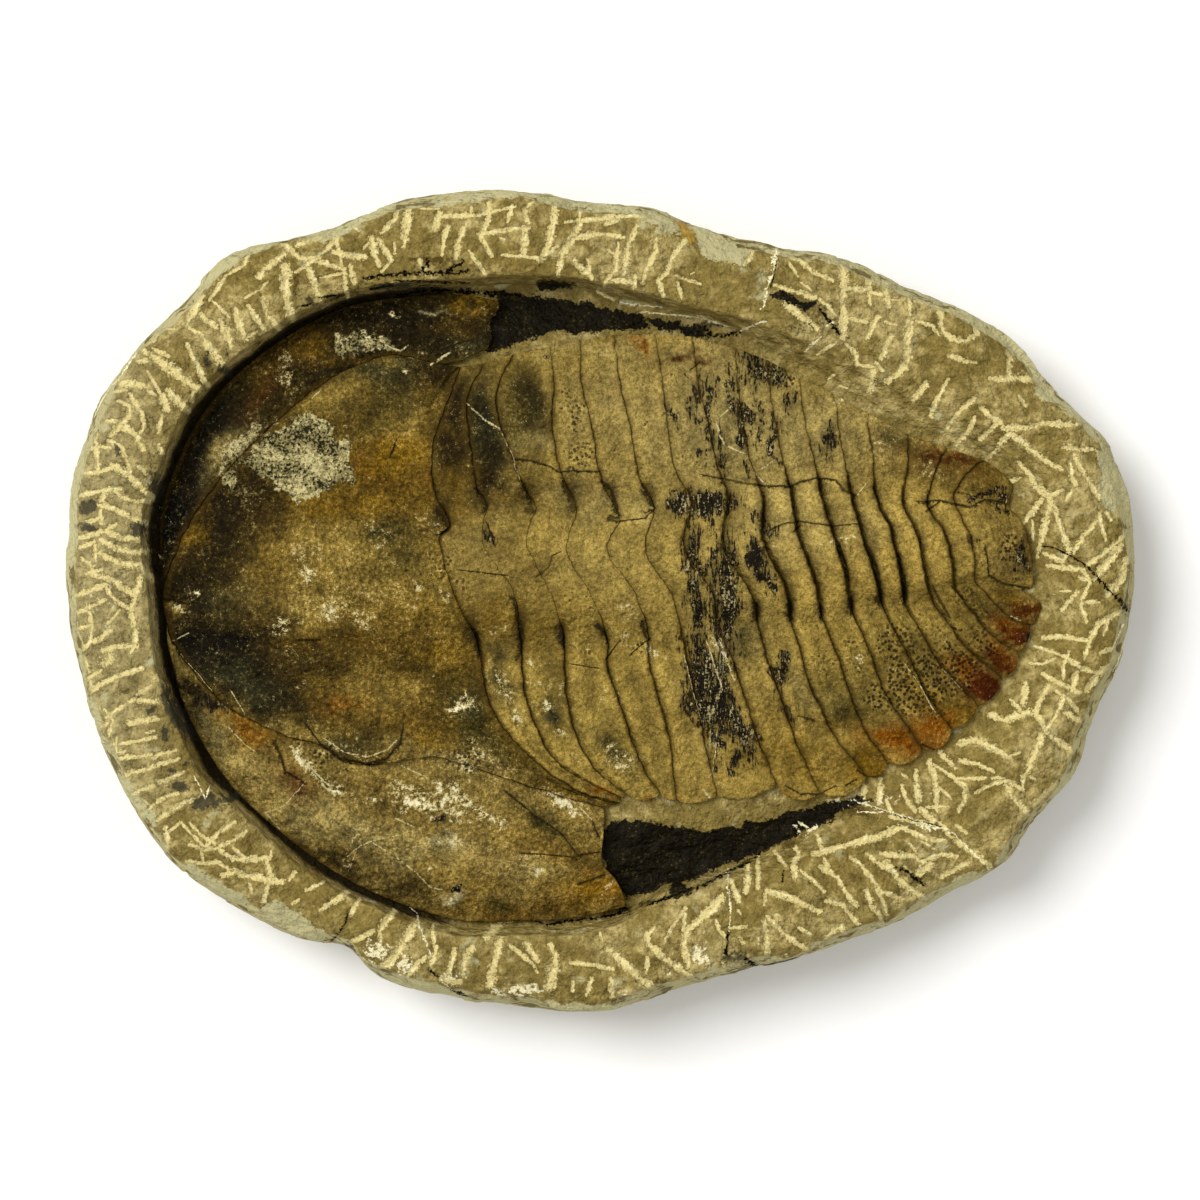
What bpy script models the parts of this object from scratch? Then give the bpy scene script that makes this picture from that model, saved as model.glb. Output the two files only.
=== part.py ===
"""A large fossil trilobite lying back up in the hollow of its chiselled block of rock.

The block rests on its flat underside at z = 0, with the origin under its middle. +X runs from the
broad head to the narrow tail, and +Y towards the animal's right side. The shell is built as the
animal grew it: the middle of the head shield, two free cheeks, fifteen body segments and a tail
plate, each a plate of its own bedded on the swell of rock in the hollow.
"""

import math

import bmesh
import bpy
import numpy as np
from mathutils import Vector, noise

MM = 0.001

# Plan outlines in millimetres, as (x, y) from the middle of the block, clockwise from the head.
BLOCK_OUTLINE = (
    (-161, 0), (-161, 18), (-160, 33), (-155, 51), (-148, 65), (-141, 75), (-126, 90), (-112, 104),
    (-90, 110), (-79, 113), (-63, 120), (-54, 122), (-30, 124), (0, 120), (18, 118), (30, 113),
    (54, 107), (75, 103), (90, 96), (111, 87), (123, 80), (138, 63), (153, 48), (161, 24), (161, 0),
    (158, -15), (148, -39), (144, -51), (134, -63), (120, -81), (114, -84), (90, -97), (69, -105),
    (44, -112), (24, -117), (2, -124), (-30, -122), (-54, -118), (-69, -112), (-77, -105),
    (-90, -102), (-108, -94), (-123, -84), (-135, -72), (-142, -60), (-151, -42), (-158, -18),
)
HOLLOW_OUTLINE = (
    (-133, 0), (-134, 28), (-130, 38), (-124, 53), (-113, 67), (-103, 75), (-88, 85), (-76, 90),
    (-59, 93), (-43, 94), (-30, 95), (-12, 95), (12, 90), (27, 86), (42, 81), (60, 72), (78, 61),
    (96, 52), (108, 48), (121, 41), (127, 30), (131, 18), (134, 0), (134, -8), (131, -14),
    (129, -20), (123, -31), (114, -40), (106, -46), (96, -51), (86, -55), (79, -61), (72, -64),
    (64, -70), (51, -76), (36, -81), (18, -86), (9, -93), (-3, -97), (-23, -98), (-43, -98),
    (-62, -92), (-79, -84), (-93, -74), (-106, -62), (-118, -51), (-124, -37), (-130, -21),
)

# Block: heights above the underside, and how far each ring of its edge lies in from the outline.
RIM_HEIGHT_HEAD, RIM_HEIGHT_TAIL = 38.5 * MM, 34.0 * MM
RIM_CROWN, RIM_FALL = 1.6 * MM, 1.0 * MM
RIM_LUMP, RIM_LUMP_SIZE = 1.5 * MM, 17 * MM
EDGE_CHIP_INSET, EDGE_CHIP_DROP, EDGE_CHIP_VARIES = 5.0 * MM, 4.5 * MM, 0.7
EDGE_BREAK_INSET = 1.75 * MM
WIDEST_HEIGHT, SIDE_LUMP = 24 * MM, 4.0 * MM
WAIST_HEIGHT, WAIST_INSET, WAIST_LUMP = 9 * MM, 4.0 * MM, 2.4 * MM
FOOT_INSET = 8.0 * MM
RIM_SEED, CHIP_SEED, SIDE_SEED = 3.7, 9.1, 5.3
# Large flakes knocked off the upper edge: middle and half-width in degrees, and depth.
EDGE_FLAKES = (
    (171, 13, 3.5 * MM), (111, 9, 3.0 * MM), (70, 8, 3.5 * MM), (29, 8, 4.0 * MM),
    (14, 6, 3.0 * MM), (222, 12, 4.0 * MM), (257, 11, 3.0 * MM), (318, 7, 3.0 * MM),
)
WALL_RUN_HEAD, WALL_RUN_TAIL = 2.0 * MM, 9.0 * MM
TAIL_STARTS, TAIL_ENDS = 20 * MM, 95 * MM
COLUMNS = 120
# Rings over the bed, as (share of the way to the wall, share of the troughs' depth), and rings over
# the rim, as shares of the way from the top of the wall to the chipped edge.
BED_RINGS = ((0.5, 0), (0.8, 0), (0.93, 1), (1, 0.6))
RIM_RINGS = (0, 0.3, 0.65, 1)
# Troughs left by the two cheek spines: middle and half-width of each in degrees round the block.
TROUGHS = ((86, 26), (-66, 27))
TROUGH_DEPTH, TROUGH_FLOOR = 2.5 * MM, 0.7

# Bed: the swell of rock that carries the shell, highest under the middle of the animal.
BED_CREST = 31 * MM
BED_FALL_SIDE, BED_HALF_WIDTH = 7.0 * MM, 95 * MM
BED_FALL_HEAD, BED_FALL_TAIL, BED_HALF_LENGTH = 6.0 * MM, 3.5 * MM, 130 * MM
BEDDING_GAP = 0.35 * MM
JOINT_GAP = 0.25 * MM
SUTURE_GAP = 0.9 * MM

# Every plate that crosses the animal is ruled with the same stations across it, from its left tip
# at 0 over the left furrow at 4, the crest of the axis at 5.75 and the right furrow at 7.8 to 11.
ACROSS = (
    0, 0.5, 1, 1.5, 2, 2.25, 2.5, 2.75, 3, 3.5, 4, 4.5, 5, 5.5,
    6, 6.5, 7, 7.35, 7.7, 8, 8.5, 9, 9.5, 10, 10.5, 11,
)
LEFT_FURROW, RIGHT_FURROW, RIGHT_TIP = 4.0, 7.8, 11.0
AXIS_EDGE = (-0.2, 0.6)

# Joint lines between the plates behind the head, front to back, as (x, y) in millimetres at the
# whole stations 0 to 11: the head's rear edge first, the tail plate's front edge last.
JOINTS = (
    ((6, -61), (-7, -57), (-22, -46), (-33, -31), (-37, -12), (-43, 0),
     (-48, 18), (-45, 23), (-50, 34), (-50, 47), (-46, 59), (-42, 70)),
    ((6.5, -59.3), (-5, -53.8), (-15, -46), (-22, -30), (-24, -12), (-26, 2.5),
     (-35, 17), (-34, 28.5), (-37, 34), (-39, 48), (-40, 60), (-35, 71)),
    ((8, -58), (-1, -51), (-7.5, -40), (-10.5, -25), (-11, -12), (-14.5, 1.5),
     (-22, 17), (-19.5, 28), (-23.5, 35.5), (-30, 53), (-31, 63), (-26, 74)),
    ((18, -58.5), (11.5, -47), (5.5, -30), (2, -20), (2, -11), (-2.5, 1.5),
     (-10, 15), (-7, 28), (-12, 38.5), (-14.5, 53), (-14, 65), (-15, 76)),
    ((23, -60), (20.5, -41), (17, -28), (14.5, -18), (14, -8), (10, 3),
     (2, 15), (5.5, 25), (0, 37), (-2.5, 52), (-5.5, 65), (-6, 78)),
    ((35, -58.5), (30.5, -39), (28, -27), (26, -18), (24.5, -10.5), (21.5, 1.5),
     (13.5, 15), (16, 28), (11.5, 37.5), (9, 52), (6, 65), (4, 80)),
    ((53, -55), (47.5, -42.5), (43, -28), (39, -16.5), (35.5, -8.5), (33, 3),
     (25, 16.5), (27, 30), (22.5, 39), (20.5, 51), (18.5, 65), (16.5, 80)),
    ((66, -58), (58.5, -42), (53.5, -27.5), (49.5, -16.5), (47, -5.5), (44.5, 3),
     (36.5, 16.5), (38, 31), (35, 40.5), (32.5, 51), (29.5, 65), (28, 79.5)),
    ((80, -53), (70.5, -41), (63.5, -27), (60, -15.5), (57, -5.5), (55, 4.5),
     (48.5, 18), (48.5, 31), (45.5, 40), (43, 51), (41.5, 64), (40.5, 76)),
    ((86.5, -48.5), (78.5, -37.5), (73.5, -24), (70, -14), (66, -4), (64, 6),
     (59, 19.5), (57, 31.5), (55, 40.5), (53, 51), (51, 62.5), (50.5, 72)),
    ((97, -45), (91, -36.5), (85, -27), (80.5, -15), (75.5, -3), (73, 7.5),
     (69.5, 19.5), (66, 32), (64.5, 40.5), (62, 50.5), (60.5, 59), (60, 67)),
    ((105.5, -38.5), (100, -31.5), (94.5, -21.5), (89.5, -11.5), (84.5, -1.5), (82, 7.5),
     (78.5, 18), (75, 31.5), (73.5, 40), (72, 48), (71, 55.5), (70, 62)),
    ((113.5, -31.5), (107.5, -25.5), (102, -19.5), (96, -9.5), (91, 0), (89.5, 8.5),
     (87, 19.5), (82.5, 31), (82, 38.5), (81.5, 45), (80.5, 51), (80.5, 56.5)),
    ((120.5, -23), (115.5, -19), (110.5, -15), (104.5, -7.5), (99, 1), (97, 7.5),
     (95, 18), (90.5, 29), (91.5, 36), (92.5, 41.5), (92.5, 45.5), (92.5, 50)),
    ((125.5, -15.5), (121, -13), (116.5, -9.5), (111, -3), (106, 4), (105.5, 9),
     (103, 19.5), (98, 28), (99, 34), (100.5, 39), (102.5, 43), (104, 46)),
    ((129, -7.5), (124.5, -6), (121, -3.5), (116.5, 1), (112.5, 6), (112, 11),
     (110.5, 19.5), (106, 29.5), (107, 34), (109.5, 37.5), (112.5, 40.5), (115.5, 42)),
)
TAIL_EDGE = (
    (131.3, -6.3), (132.5, -1.5), (130, 1.2), (126.5, 3.3), (129.8, 4), (130, 9.3),
    (129, 16.5), (126.5, 24), (123, 28), (123.5, 31.5), (123.5, 35.5), (119.5, 39.5),
)
SEGMENTS = len(JOINTS) - 1

# Head suture: the line that parts the middle of the head shield from the cheeks, as (station, x, y),
# from the left rear corner round the left eye lobe and the snout to the right rear corner.
SUTURE = (
    (0, 1, -62), (0.5, -18, -56.5), (1, -36, -50.5), (1.5, -52, -46), (2, -61, -45.5),
    (2.25, -67, -49), (2.5, -77, -48), (2.75, -84.5, -43), (3, -94, -40.5), (3.5, -114, -30),
    (4, -127.5, -14), (4.5, -130, -7), (5, -131, -3), (5.75, -131.7, 1), (6.5, -130.5, 6),
    (7, -128.5, 12), (7.5, -124.5, 21), (8, -119.5, 29), (8.5, -111, 40), (9, -100.5, 50.5),
    (9.5, -88.5, 61), (10, -76.5, 69), (10.5, -63, 73.5), (11, -46.5, 71), (11.6, -33.5, 75.5),
)
CHEEK_LEFT_STATIONS = (0, 0.5, 1, 1.5, 2, 2.25, 2.5, 2.75, 3, 3.5, 4, 4.5)
CHEEK_RIGHT_STATIONS = (6.5, 7, 7.35, 7.7, 8, 8.5, 9, 9.5, 10, 10.5, 11, 11.6)
# Outer edges of the cheeks, as (station, x, y), just inside the hollow's wall.
CHEEK_LEFT_EDGE = (
    (0, 6.5, -92), (0.5, -8, -95.5), (1, -24, -96.5), (1.5, -40, -96.5), (2, -55, -93),
    (2.5, -74, -85), (3, -92, -73), (3.5, -111, -55.5), (4, -124, -34), (4.5, -129.8, -14.5),
)
CHEEK_RIGHT_EDGE = (
    (6.5, -131.7, 11), (7, -132.4, 19), (7.35, -132, 27), (7.7, -130, 34), (8, -127.8, 40),
    (8.5, -122, 52.5),
    (9, -112, 65.5), (9.5, -96, 78.5), (10, -76, 88.5), (10.5, -54, 91.7), (11, -41, 92),
    (11.6, -31, 90),
)

# Shell heights above the bed, in millimetres, as (station, height).
BODY_HEIGHT = (
    (0, 1.8), (1, 2.6), (2, 3.2), (3, 3.5), (4, 2.5), (4.5, 4.6), (5, 5.8), (5.75, 6.6),
    (6.5, 6.1), (7, 5.1), (7.8, 2.6), (8.4, 3.4), (9, 3.5), (10, 3.0), (11, 1.9),
)
HEAD_HEIGHT = (
    (0, 2.0), (1, 3.2), (2, 3.6), (3, 3.7), (4, 3.6), (4.5, 5.6), (5, 6.9), (5.75, 7.6),
    (6.5, 7.2), (7, 6.4), (7.8, 3.9), (8.4, 3.7), (9, 3.6), (10, 3.2), (11, 2.2),
)
# Rows of a segment from front to rear, as (share, lift over the axis, lift over the ribs): the front
# is tucked under its neighbour, a furrow runs along each rib, and the rear edge stands proud.
SEGMENT_ROWS = ((0, -1.3, -0.9), (0.3, 0.3, 0.5), (0.62, 0.5, -0.5), (1, 1.2, 0.9))
TIP_RELIEF, TIP_RELIEF_REACH = 0.4, 1.5
# Height of the head's middle along the suture, as (station, height): lowest at the snout.
SUTURE_HEIGHT = (
    (0, 2.4), (1, 3.4), (2, 3.4), (3, 3.4), (4, 2.4), (5, 1.9), (5.75, 1.8),
    (7, 1.9), (8, 2.2), (9, 3.0), (10, 3.3), (11, 2.6),
)
HEAD_ROWS = (0, 0.06, 0.15, 0.27, 0.4, 0.53, 0.66, 0.78, 0.88, 0.94, 1)
HEAD_RISE = (-0.05, 0.55)
# Rows of the tail plate as (share, lift), over which its height also fades to the rear.
TAIL_ROWS = ((0, -0.36), (0.3, 0.06), (0.65, -0.3), (1, -0.72))
TAIL_FADE = 0.45
CHEEK_ROWS = (0, 0.12, 0.3, 0.52, 0.72, 0.88, 1)
CHEEK_INNER, CHEEK_MIDDLE, CHEEK_OUTER = 2.0 * MM, 3.6 * MM, 2.0 * MM
GLABELLA_SWELL, GLABELLA_SWELL_REACH = 0.75, 1.1
OCCIPITAL_ROW, OCCIPITAL_WIDTH, OCCIPITAL_DEPTH = 0.9, 0.04, 0.7 * MM
EYE_LOBE_STATION, EYE_LOBE_REACH, EYE_LOBE_HEIGHT = 2.45, 0.55, 2.2 * MM
EYE_LOBE_ROW, EYE_LOBE_WIDTH = 0.1, 0.07
TIP_BULGES = (0, 0, 2.0, 0.8, 1.5, 2.5, 3.5, 3.2, 2.0, 2.4, 2.6, 1.4, 1.6, 1.8, 1.2)


def smooth_through(knots, at):
    """Points on a smooth line that passes through each knot, given as (station, value, ...)."""
    table = np.asarray(knots, float)
    stations, values = table[:, 0], table[:, 1:]
    slopes = np.gradient(values, stations, axis=0)
    at = np.clip(np.asarray(at, float), stations[0], stations[-1])
    left = np.clip(np.searchsorted(stations, at, side="right") - 1, 0, len(stations) - 2)
    span = (stations[left + 1] - stations[left])[:, None]
    t = (at - stations[left])[:, None] / span
    return (
        (2 * t**3 - 3 * t**2 + 1) * values[left]
        + (t**3 - 2 * t**2 + t) * span * slopes[left]
        + (3 * t**2 - 2 * t**3) * values[left + 1]
        + (t**3 - t**2) * span * slopes[left + 1]
    )


def smooth_step(value, start, end):
    t = np.clip((value - start) / (end - start), 0, 1)
    return t * t * (3 - 2 * t)


def bed_height(points):
    """The bed's height under plan points: a crest that falls away to the sides, head and tail."""
    x, y = points[..., 0], points[..., 1]
    ends = np.where(x < 0, BED_FALL_HEAD, BED_FALL_TAIL) * (x / BED_HALF_LENGTH) ** 2
    return BED_CREST - BED_FALL_SIDE * (y / BED_HALF_WIDTH) ** 2 - ends


def moved_sideways(line, distance):
    """A plan line moved to its left by a distance, as seen when walking from its first point."""
    along = np.gradient(line, axis=0)
    left = np.stack([-along[:, 1], along[:, 0]], axis=1)
    return line + distance * left / np.linalg.norm(left, axis=1, keepdims=True)


def joint_line(index, stations):
    """Joint line number `index` between two body plates, in metres, at the given stations."""
    knots = [(station, *point) for station, point in enumerate(JOINTS[index])]
    return smooth_through(knots, stations) * MM


def plate_material(name, colour, roughness):
    material = bpy.data.materials.new(name)
    material.use_nodes = True
    shader = material.node_tree.nodes["Principled BSDF"]
    shader.inputs["Base Color"].default_value = (*colour, 1)
    shader.inputs["Roughness"].default_value = roughness
    shader.inputs["Metallic"].default_value = 0
    return material


def add_object(name, bm, material):
    """Puts a finished shape into the scene, faces out, with flat broken edges kept sharp."""
    bmesh.ops.recalc_face_normals(bm, faces=bm.faces)
    if bm.calc_volume(signed=True) < 0:
        bmesh.ops.reverse_faces(bm, faces=bm.faces)
    mesh = bpy.data.meshes.new(name)
    bm.to_mesh(mesh)
    bm.free()
    mesh.materials.append(material)
    mesh.shade_smooth()
    mesh.set_sharp_from_angle(angle=math.radians(38))
    obj = bpy.data.objects.new(name, mesh)
    bpy.context.scene.collection.objects.link(obj)
    return obj


def build_plate(name, plan, top, under_rows, material):
    """A plate from a plan grid [across, along, xy], its top heights, and an underside on the bed.

    The underside keeps only a few of the rows of the top, because the bed is smooth.
    """
    across, along = top.shape
    bm = bmesh.new()
    upper = [
        [bm.verts.new((*plan[i, j], top[i, j])) for j in range(along)] for i in range(across)
    ]
    bed = bed_height(plan) + BEDDING_GAP
    lower = [
        {j: bm.verts.new((*plan[i, j], bed[i, j])) for j in under_rows} for i in range(across)
    ]
    for i in range(across - 1):
        for j in range(along - 1):
            bm.faces.new((upper[i][j], upper[i + 1][j], upper[i + 1][j + 1], upper[i][j + 1]))
        for j, k in zip(under_rows, under_rows[1:]):
            bm.faces.new((lower[i][j], lower[i][k], lower[i + 1][k], lower[i + 1][j]))
        for j in (0, along - 1):
            bm.faces.new((upper[i][j], lower[i][j], lower[i + 1][j], upper[i + 1][j]))
    for i in (0, across - 1):
        for j, k in zip(under_rows, under_rows[1:]):
            rim = [upper[i][m] for m in range(j, k + 1)]
            bm.faces.new((*rim, lower[i][k], lower[i][j]))
    return add_object(name, bm, material)


def ruled(front, rear, rows):
    """Plan grid between two lines: straight rulings from front to rear, cut at the given rows."""
    rows = np.asarray(rows)[None, :, None]
    return front[:, None, :] * (1 - rows) + rear[:, None, :] * rows


def over_axis(stations):
    """1 over the axis and 0 over the ribs, as a column to the stations."""
    into_axis = np.minimum(stations - LEFT_FURROW, RIGHT_FURROW - stations)
    return smooth_step(into_axis, *AXIS_EDGE)[:, None]


def build_segment(number, material):
    """One body segment: a band over the axis, tucked under in front and raised at its rear edge."""
    stations = np.array(ACROSS)
    front = moved_sideways(joint_line(number - 1, stations), -JOINT_GAP)
    rear = moved_sideways(joint_line(number, stations), JOINT_GAP)
    rows, axis_lift, rib_lift = np.array(SEGMENT_ROWS).T
    plan = ruled(front, rear, rows)
    tip = plan[0, -1] - plan[0, 0]
    outward = np.array([tip[1], -tip[0]]) / np.linalg.norm(tip)
    bulge = TIP_BULGES[number - 1] * MM * 4 * rows * (1 - rows)
    plan[0] += bulge[:, None] * outward
    height = smooth_through(BODY_HEIGHT, stations) * MM
    on_axis = over_axis(stations)
    near_tip = np.minimum(stations, RIGHT_TIP - stations)
    relief = TIP_RELIEF + (1 - TIP_RELIEF) * smooth_step(near_tip, 0, TIP_RELIEF_REACH)
    lift = on_axis * axis_lift + (1 - on_axis) * relief[:, None] * rib_lift
    top = bed_height(plan) + height + lift * MM
    name = f"thoracic_segment_{number:02d}"
    return build_plate(name, plan, top, (0, len(rows) - 1), material)


def build_tail(material):
    """The tail plate, from the last joint line to the rear margin, its axis fading backwards."""
    stations = np.array(ACROSS)
    front = moved_sideways(joint_line(SEGMENTS, stations), -JOINT_GAP)
    rear = smooth_through([(k, *point) for k, point in enumerate(TAIL_EDGE)], stations) * MM
    rows, lifts = np.array(TAIL_ROWS).T
    plan = ruled(front, rear, rows)
    height = smooth_through(BODY_HEIGHT, stations) * MM
    top = bed_height(plan) + height * (1 - TAIL_FADE * rows) + lifts * MM
    return build_plate("pygidium", plan, top, (0, len(rows) - 1), material)


def build_cranidium(material):
    """The middle of the head shield: a glabella that rises backwards, with an eye lobe on the left."""
    stations = np.array(ACROSS)
    front = smooth_through(SUTURE, stations) * MM
    rear = moved_sideways(joint_line(0, stations), JOINT_GAP)
    rows = np.array(HEAD_ROWS)
    plan = ruled(front, rear, rows)
    swell = GLABELLA_SWELL * np.sin(math.pi * rows)
    swell = swell * np.exp(-(((stations[:, None] - LEFT_FURROW) / GLABELLA_SWELL_REACH) ** 2))
    height = smooth_through(HEAD_HEIGHT, (stations[:, None] + swell).ravel()).reshape(swell.shape)
    rise = smooth_step(rows, *HEAD_RISE)
    height = (smooth_through(SUTURE_HEIGHT, stations) * (1 - rise) + height * rise) * MM
    furrow = OCCIPITAL_DEPTH * np.exp(-(((rows - OCCIPITAL_ROW) / OCCIPITAL_WIDTH) ** 2))
    away = np.abs(stations - EYE_LOBE_STATION)[:, None] / EYE_LOBE_REACH
    lobe = np.exp(-(((rows - EYE_LOBE_ROW) / EYE_LOBE_WIDTH) ** 2)) * np.clip(1 - away**2, 0, None)
    top = bed_height(plan) + height - furrow + EYE_LOBE_HEIGHT * lobe
    return build_plate("cranidium", plan, top, (0, 3, 6, len(rows) - 1), material)


def build_cheek(name, stations, edge, material):
    """A free cheek from the suture to the hollow's wall, gently vaulted between the two."""
    stations = np.array(stations)
    inner = moved_sideways(smooth_through(SUTURE, stations) * MM, SUTURE_GAP)
    outer = smooth_through(edge, stations) * MM
    rows = np.array(CHEEK_ROWS)
    plan = ruled(inner, outer, rows)
    height = CHEEK_INNER * (1 - rows) + CHEEK_OUTER * rows
    height = height + (CHEEK_MIDDLE - CHEEK_INNER) * np.sin(math.pi * rows)
    top = bed_height(plan) + height[None, :]
    return build_plate(name, plan, top, (0, 3, len(rows) - 1), material)


def radius_of(outline, angles):
    """Distance from the middle to a closed outline of straight facets, at each angle."""
    corners = np.asarray(outline, float) * MM
    ends = np.roll(corners, -1, axis=0)
    radii = []
    for angle in angles:
        ray = np.array([math.cos(angle), math.sin(angle)])
        run = ends - corners
        across = run[:, 0] * ray[1] - run[:, 1] * ray[0]
        with np.errstate(divide="ignore", invalid="ignore"):
            along = (corners[:, 1] * ray[0] - corners[:, 0] * ray[1]) / across
            reach = (corners[:, 1] * run[:, 0] - corners[:, 0] * run[:, 1]) / across
        hit = (along >= 0) & (along <= 1) & (reach > 0)
        radii.append(reach[hit].max())
    return np.array(radii)


def lumps(plan, seed):
    """Smooth lumpy values between about -1 and 1, one for each plan point."""
    places = plan / RIM_LUMP_SIZE
    return np.array([noise.noise(Vector((x, y, seed))) for x, y in places])


def degrees_from(angles, middle):
    """How many degrees each angle lies from the middle one, the short way round."""
    return np.abs((np.degrees(angles) - middle + 180) % 360 - 180)


def build_matrix(material):
    """The block: a closed stack of rings from the middle of the bed out over the rim and under."""
    angles = np.linspace(0, 2 * math.pi, COLUMNS, endpoint=False)
    ray = np.stack([np.cos(angles), np.sin(angles)], axis=1)
    hollow = radius_of(HOLLOW_OUTLINE, angles)
    outline = radius_of(BLOCK_OUTLINE, angles)
    tail = smooth_step(hollow * ray[:, 0], TAIL_STARTS, TAIL_ENDS)
    rim = RIM_HEIGHT_HEAD + (RIM_HEIGHT_TAIL - RIM_HEIGHT_HEAD) * tail
    wall_top = hollow + WALL_RUN_HEAD + (WALL_RUN_TAIL - WALL_RUN_HEAD) * tail
    edge = outline - EDGE_CHIP_INSET

    trough = np.zeros(COLUMNS)
    for middle, half_width in TROUGHS:
        away = degrees_from(angles, middle)
        trough += smooth_step(away, half_width, TROUGH_FLOOR * half_width)
    flake = np.zeros(COLUMNS)
    for middle, half_width, depth in EDGE_FLAKES:
        flake += depth * np.clip(1 - (degrees_from(angles, middle) / half_width) ** 2, 0, None)

    rings = []
    for share, depth in BED_RINGS:
        plan = ray * (hollow * share)[:, None]
        rings.append((plan, bed_height(plan) - depth * TROUGH_DEPTH * trough))
    for share in RIM_RINGS:
        plan = ray * (wall_top + (edge - wall_top) * share)[:, None]
        crown = RIM_CROWN * 4 * share * (1 - share) - RIM_FALL * share
        rings.append((plan, rim + crown + RIM_LUMP * lumps(plan, RIM_SEED) - flake * share**3))
    chips = 1 + EDGE_CHIP_VARIES * lumps(edge[:, None] * ray, CHIP_SEED)
    chipped = rim - EDGE_CHIP_DROP * chips - flake
    rings.append((ray * (outline - EDGE_BREAK_INSET)[:, None], chipped))
    sides = lumps(outline[:, None] * ray, SIDE_SEED)
    rings.append((ray * outline[:, None], WIDEST_HEIGHT + SIDE_LUMP * sides))
    waist = outline - WAIST_INSET - WAIST_LUMP * sides
    rings.append((ray * waist[:, None], np.full(COLUMNS, WAIST_HEIGHT)))
    rings.append((ray * (outline - FOOT_INSET)[:, None], np.zeros(COLUMNS)))

    bm = bmesh.new()
    loops = []
    for plan, heights in rings:
        verts = [bm.verts.new((*point, z)) for point, z in zip(plan, heights)]
        loops.append(verts)
    for inner, outer in zip(loops, loops[1:]):
        for i in range(COLUMNS):
            k = (i + 1) % COLUMNS
            bm.faces.new((inner[i], outer[i], outer[k], inner[k]))
    middle = bm.verts.new((0, 0, BED_CREST))
    for i in range(COLUMNS):
        bm.faces.new((middle, loops[0][i], loops[0][(i + 1) % COLUMNS]))
    bm.faces.new(loops[-1])
    return add_object("matrix", bm, material)


def build_fossil():
    for old in list(bpy.data.objects):
        bpy.data.objects.remove(old, do_unlink=True)
    rock = plate_material("pale_chiselled_rock", (0.30, 0.24, 0.09), 0.9)
    head = plate_material("brown_head_shell", (0.20, 0.13, 0.03), 0.6)
    dark = plate_material("dark_cheek_shell", (0.08, 0.055, 0.02), 0.55)
    ochre = plate_material("ochre_cheek_shell", (0.17, 0.11, 0.02), 0.6)
    tan = plate_material("tan_body_shell", (0.27, 0.19, 0.05), 0.65)
    rust = plate_material("rusty_tail_shell", (0.22, 0.12, 0.02), 0.65)
    build_matrix(rock)
    build_cranidium(head)
    build_cheek("free_cheek_left", CHEEK_LEFT_STATIONS, CHEEK_LEFT_EDGE, ochre)
    build_cheek("free_cheek_right", CHEEK_RIGHT_STATIONS, CHEEK_RIGHT_EDGE, dark)
    for number in range(1, SEGMENTS + 1):
        build_segment(number, tan)
    build_tail(rust)


build_fossil()
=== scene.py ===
import itertools
import math

import bpy
import numpy as np
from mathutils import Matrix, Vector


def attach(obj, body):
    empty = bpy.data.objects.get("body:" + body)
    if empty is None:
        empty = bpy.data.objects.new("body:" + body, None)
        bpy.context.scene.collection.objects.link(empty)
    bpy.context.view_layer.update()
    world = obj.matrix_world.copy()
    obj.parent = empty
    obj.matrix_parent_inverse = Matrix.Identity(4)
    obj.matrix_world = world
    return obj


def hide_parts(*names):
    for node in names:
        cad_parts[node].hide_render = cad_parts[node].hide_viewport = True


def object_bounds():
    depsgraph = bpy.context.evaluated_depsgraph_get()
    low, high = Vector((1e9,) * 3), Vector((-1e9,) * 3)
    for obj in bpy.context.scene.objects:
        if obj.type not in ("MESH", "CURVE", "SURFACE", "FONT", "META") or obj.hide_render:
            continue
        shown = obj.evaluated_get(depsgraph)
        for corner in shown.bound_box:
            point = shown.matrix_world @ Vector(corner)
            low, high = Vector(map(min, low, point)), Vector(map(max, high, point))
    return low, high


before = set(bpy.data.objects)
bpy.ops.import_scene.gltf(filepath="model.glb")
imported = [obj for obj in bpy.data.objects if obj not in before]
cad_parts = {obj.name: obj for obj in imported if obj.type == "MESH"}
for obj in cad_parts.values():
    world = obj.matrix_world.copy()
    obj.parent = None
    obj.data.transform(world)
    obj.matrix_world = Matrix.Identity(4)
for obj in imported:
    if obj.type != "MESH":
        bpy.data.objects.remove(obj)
cad_low, cad_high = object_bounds()

# The block: one split piece of olive-buff mudstone, knapped to an egg shape and dressed flat below.
# A narrow chisel has hollowed it round the animal and has scored its rim all over, down to pale stone.
# Lengths are in millimetres, and are turned into metres where a mesh is made.
MM = 0.001
BLOCK_OUTLINE = (
    (-161, 0), (-161, 18), (-160, 33), (-155, 51), (-148, 65), (-141, 75), (-126, 90), (-112, 104),
    (-90, 110), (-79, 113), (-63, 120), (-54, 122), (-30, 124), (0, 120), (18, 118), (30, 113), (54, 107),
    (75, 103), (90, 96), (111, 87), (123, 80), (138, 63), (153, 48), (161, 24), (161, 0), (158, -15),
    (148, -39), (144, -51), (134, -63), (120, -81), (114, -84), (90, -97), (69, -105), (44, -112),
    (24, -117), (2, -124), (-30, -122), (-54, -118), (-69, -112), (-77, -105), (-90, -102), (-108, -94),
    (-123, -84), (-135, -72), (-142, -60), (-151, -42), (-158, -18),
)
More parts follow.
